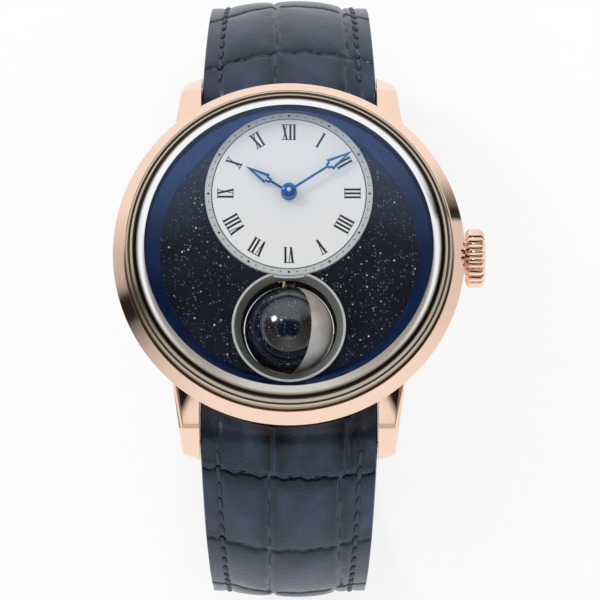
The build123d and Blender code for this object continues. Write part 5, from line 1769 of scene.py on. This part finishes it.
@dataclass
class Studio:
    """Floor, light and camera of the product photograph.

    The horizon gives the grey level of the cards round the watch, by azimuth from 180 to
    540 degrees. The hood stands over them by share of a turn, and the roof lies over that
    by share of the way from front to back. Each band is where a card begins or ends.
    """

    floor_height: float = -40.5
    floor_reach: float = 330.0
    floor_glow: float = 1.04
    floor_glow_share: float = 0.72
    tilt: float = 13.2
    distance: float = 450.0
    lens: float = 216.8
    clip: Point2 = (0.01, 10.0)
    look_x: float = 1.38
    look_drop: float = 6.1
    look_height: float = 11.1
    sun_way: Point3 = (-0.6, 0.36, 0.72)
    sun_distance: float = 0.4
    sun_power: float = 0.6
    sun_width: float = 14.0
    surround: str = "#f6f6f7"
    horizon: Profile = (
        (180, 0.32), (183, 0.02), (191, 0.02), (194, 0.2), (197, 0.3), (204, 0.55), (215, 0.78),
        (235, 0.97), (270, 1.0), (325, 0.97), (352, 0.8), (373, 0.75), (384.3, 0.75),
        (385, 0.03), (389, 0.03), (389.5, 0.13), (393, 0.3), (399, 0.8), (405, 1.0), (450, 1.0),
        (511, 0.97), (527, 0.66), (536, 0.55), (540, 0.35),
    )
    hood: Stops = (
        (0.0, "#6b5646"), (0.14, "#9c8f7f"), (0.2, "#cfc9bd"), (0.3, "#cfc9bd"),
        (0.37, "#9c8f7f"), (0.5, "#7a604b"), (0.57, "#6b5646"), (0.64, "#dfe6ea"),
        (0.7, "#ffffff"), (0.84, "#ffffff"), (0.89, "#dfe6ea"), (0.95, "#6b5646"),
        (1.0, "#6b5646"),
    )
    roof: Stops = (
        (0.26, "#ffffff"), (0.32, "#1c1c1c"), (0.6, "#161616"), (0.65, "#5c5c5c"),
        (0.72, "#ffffff"),
    )
    roof_spread: float = 0.25
    horizon_band: Point2 = (0.3, 0.2)
    hood_bands: tuple[Point2, Point2] = ((0.36, 0.44), (0.88, 0.8))
    roof_band: Point2 = (0.8, 0.88)

    def build(self) -> None:
        """Builds floor, world, key light and camera."""
        self.build_floor()
        self.build_world()
        self.build_key()
        self.build_camera()

    def build_floor(self) -> None:
        """Lays a wide white floor that keeps the shadow."""
        shape = bmesh.new()
        bmesh.ops.create_circle(shape, cap_ends=True, segments=96, radius=self.floor_reach)
        bmesh.ops.translate(shape, vec=(0, 0, self.floor_height), verts=shape.verts)
        floor = to_object("floor", shape)
        white = bpy.data.materials.new("white paper, matt")
        white.use_nodes = True
        tree = white.node_tree
        tree.nodes.clear()
        rays = add(tree, "LightPath").node.outputs
        seen = rays["Is Camera Ray"]
        for other in ("Is Glossy Ray", "Is Transmission Ray"):
            seen = add(tree, "Math", {0: seen, 1: rays[other]}, operation="MAXIMUM")
        share = add(tree, "Math", {0: seen, 1: self.floor_glow_share}, operation="MULTIPLY")
        paper = add(tree, "BsdfDiffuse", {"Color": paint("#f2f2f2")})
        glow = add(tree, "Emission", {"Color": paint("#ffffff"), "Strength": self.floor_glow})
        both = add(tree, "MixShader", {0: share, 1: paper, 2: glow})
        add(tree, "OutputMaterial", {"Surface": both})
        floor.data.materials.append(white)

    def build_world(self) -> None:
        """Makes a white surround, with dark cards that only gloss can see."""
        world = bpy.data.worlds.new("studio")
        bpy.context.scene.world = world
        world.use_nodes = True
        tree = world.node_tree
        tree.nodes.clear()
        way = add(tree, "TexCoord", out="Generated")
        turn = add(tree, "TexGradient", {"Vector": way}, "Fac", gradient_type="RADIAL")
        parts = add(tree, "SeparateXYZ", {"Vector": way}).node.outputs
        aside = add(tree, "Math", {0: parts["X"]}, operation="ABSOLUTE")
        feeds = {0: aside, 1: self.roof_spread, 2: parts["Y"]}
        ahead = add(tree, "Math", feeds, operation="MULTIPLY_ADD")
        ahead = add(tree, "MapRange", {"Value": ahead, "From Min": -1.0, "From Max": 1.0})
        horizon = [((azimuth - 180) / 360, grey(level)) for azimuth, level in self.horizon]
        gloss = paint("#ffffff")
        for place, stops, bands in (
            (turn, horizon, [self.horizon_band]), (turn, self.hood, self.hood_bands),
            (ahead, self.roof, [self.roof_band]),
        ):
            card = add(tree, "ValToRGB", {"Fac": place}, stops=stops)
            mask = 1.0
            for start, end in bands:
                level = add(
                    tree, "MapRange",
                    {"Value": parts["Z"], "From Min": start, "From Max": end},
                    interpolation_type="SMOOTHSTEP",
                )
                mask = add(tree, "Math", {0: level, 1: mask}, operation="MULTIPLY")
            gloss = add(tree, "Mix", {0: mask, 6: gloss, 7: card}, 2, data_type="RGBA")
        rays = add(tree, "LightPath").node.outputs
        feeds = {0: rays["Is Glossy Ray"], 1: rays["Is Transmission Ray"]}
        mirror = add(tree, "Math", feeds, operation="MAXIMUM")
        feeds = {0: mirror, 6: paint(self.surround), 7: gloss}
        soft = add(tree, "Mix", feeds, 2, data_type="RGBA")
        feeds = {0: rays["Is Camera Ray"], 6: soft, 7: paint("#ffffff")}
        seen = add(tree, "Mix", feeds, 2, data_type="RGBA")
        back = add(tree, "Background", {"Color": seen, "Strength": 1.0})
        add(tree, "OutputWorld", {"Surface": back})

    def build_key(self) -> None:
        """Hangs the soft key light high on the left."""
        lamp = bpy.data.lights.new("key", "SUN")
        lamp.energy, lamp.angle = self.sun_power, radians(self.sun_width)
        holder = link("key", lamp)
        way = Vector(self.sun_way)
        holder.location = way * self.sun_distance
        holder.rotation_euler = (-way).to_track_quat("-Z", "Y").to_euler()

    def build_camera(self) -> None:
        """Places the camera at the photograph's angle."""
        tilt = radians(self.tilt)
        back = Vector((0, -sin(tilt), cos(tilt)))
        up = Vector((0, cos(tilt), sin(tilt)))
        target = Vector((self.look_x, 0, self.look_height)) - up * self.look_drop
        lens = bpy.data.cameras.new("camera")
        lens.lens, lens.sensor_width = self.lens, 36.0
        lens.clip_start, lens.clip_end = self.clip
        camera = link("camera", lens)
        facing = Matrix((Vector((1, 0, 0)), up, back)).transposed().to_4x4()
        place = Matrix.Translation((target + back * self.distance) * MM)
        camera.matrix_world = place @ facing
        bpy.context.scene.camera = camera


def dress_solids() -> None:
    """Gives every carried-over solid the finish of its slot in the record."""
    slots = {part["node"]: part["material_slot"] for part in frame["record"]["subparts"]}
    for node, solid in frame["nodes"].items():
        slot = slots[node]
        solid.data.materials.clear()
        solid.data.materials.append(SlotFinish[slot].value.material())


def main() -> None:
    """Builds the watch and its studio, piece by piece."""
    logging.basicConfig(level=logging.INFO, format="%(message)s")
    bpy.context.scene.view_settings.view_transform = "Standard"
    dress_solids()
    Case().build()
    Crystal().build()
    Crown().build()
    Dial().build()
    MoonDisplay().build()
    Hand(
        "hour_lance", "hour_hand", "hour_hand_set", base=12.15, tip=6.36, corner=3.24,
        notch=2.8, half_width=0.67, hub=1.0, hub_top=12.45, turn=58.4,
    ).build()
    Hand(
        "minute_lance", "minute_hand", "minute_hand_set", base=12.8, tip=9.39, corner=6.15,
        notch=5.83, half_width=0.77, hub=0.95, hub_top=13.6, turn=-57.0,
    ).build()
    Pivot().build()
    upper = StrapHalf(
        "upper_strap", "strap_upper", "strap_upper_set", side=1, leave_angle=24.0, bow=16.5,
        bend=16.5, end_reach=10.6, tip_radius=0.0,
        rows=((2.0, 5.1, 3.4), (12.6, 18.3, 13.8), (25.0, 27.0, 26.0), (37.0, 38.5, 36.5),
              (49.0, 50.0, 48.0), (60.0, 61.0, 60.5)),
        columns=(
            ((-1.8, -1.8), (7.2, 7.2)), ((-1.4, -1.9), (7.6, 7.2)), ((-1.6, -2.4), (6.9, 7.0)),
            ((-2.6, -2.0), (5.8, 6.4)), ((-1.8, -2.2), (6.0, 5.6)), ((-2.0, -1.6), (6.2, 6.0)),
            ((-1.8, -1.8), (6.0, 6.0)),
        ),
        slot=(2.6, 3.2),
    )
    lower = StrapHalf(
        "lower_strap", "strap_lower", "strap_lower_set", side=-1, leave_angle=30.0, bow=13.4,
        bend=18.0, end_reach=4.0, tip_radius=7.0,
        rows=((2.2, 3.6, 3.0), (12.6, 14.9, 13.0), (24.5, 26.5, 25.0), (36.0, 37.5, 36.5),
              (47.0, 49.0, 48.0), (58.5, 60.0, 59.0)),
        columns=(
            ((-1.9, -1.9), (7.3, 7.3)), ((-2.5, -2.5), (6.4, 6.4)), ((-2.4, -2.6), (6.2, 6.8)),
            ((-2.0, -2.4), (5.8, 6.2)), ((-2.2, -1.8), (6.2, 5.8)), ((-2.0, -2.0), (5.6, 6.0)),
            ((-1.8, -1.8), (5.6, 5.6)),
        ),
        holes=(10.0, 15.2, 20.4, 25.6),
    )
    for half in (upper, lower):
        half.build()
    for keeper in (
        Keeper("fixed_loop", "fixed_keeper", "strap_upper_set", 20.0, upper),
        Keeper("loose_loop", "loose_keeper", "loose_keeper_set", 41.0, upper),
    ):
        keeper.build()
    Studio().build()


if __name__ == "__main__":
    main()
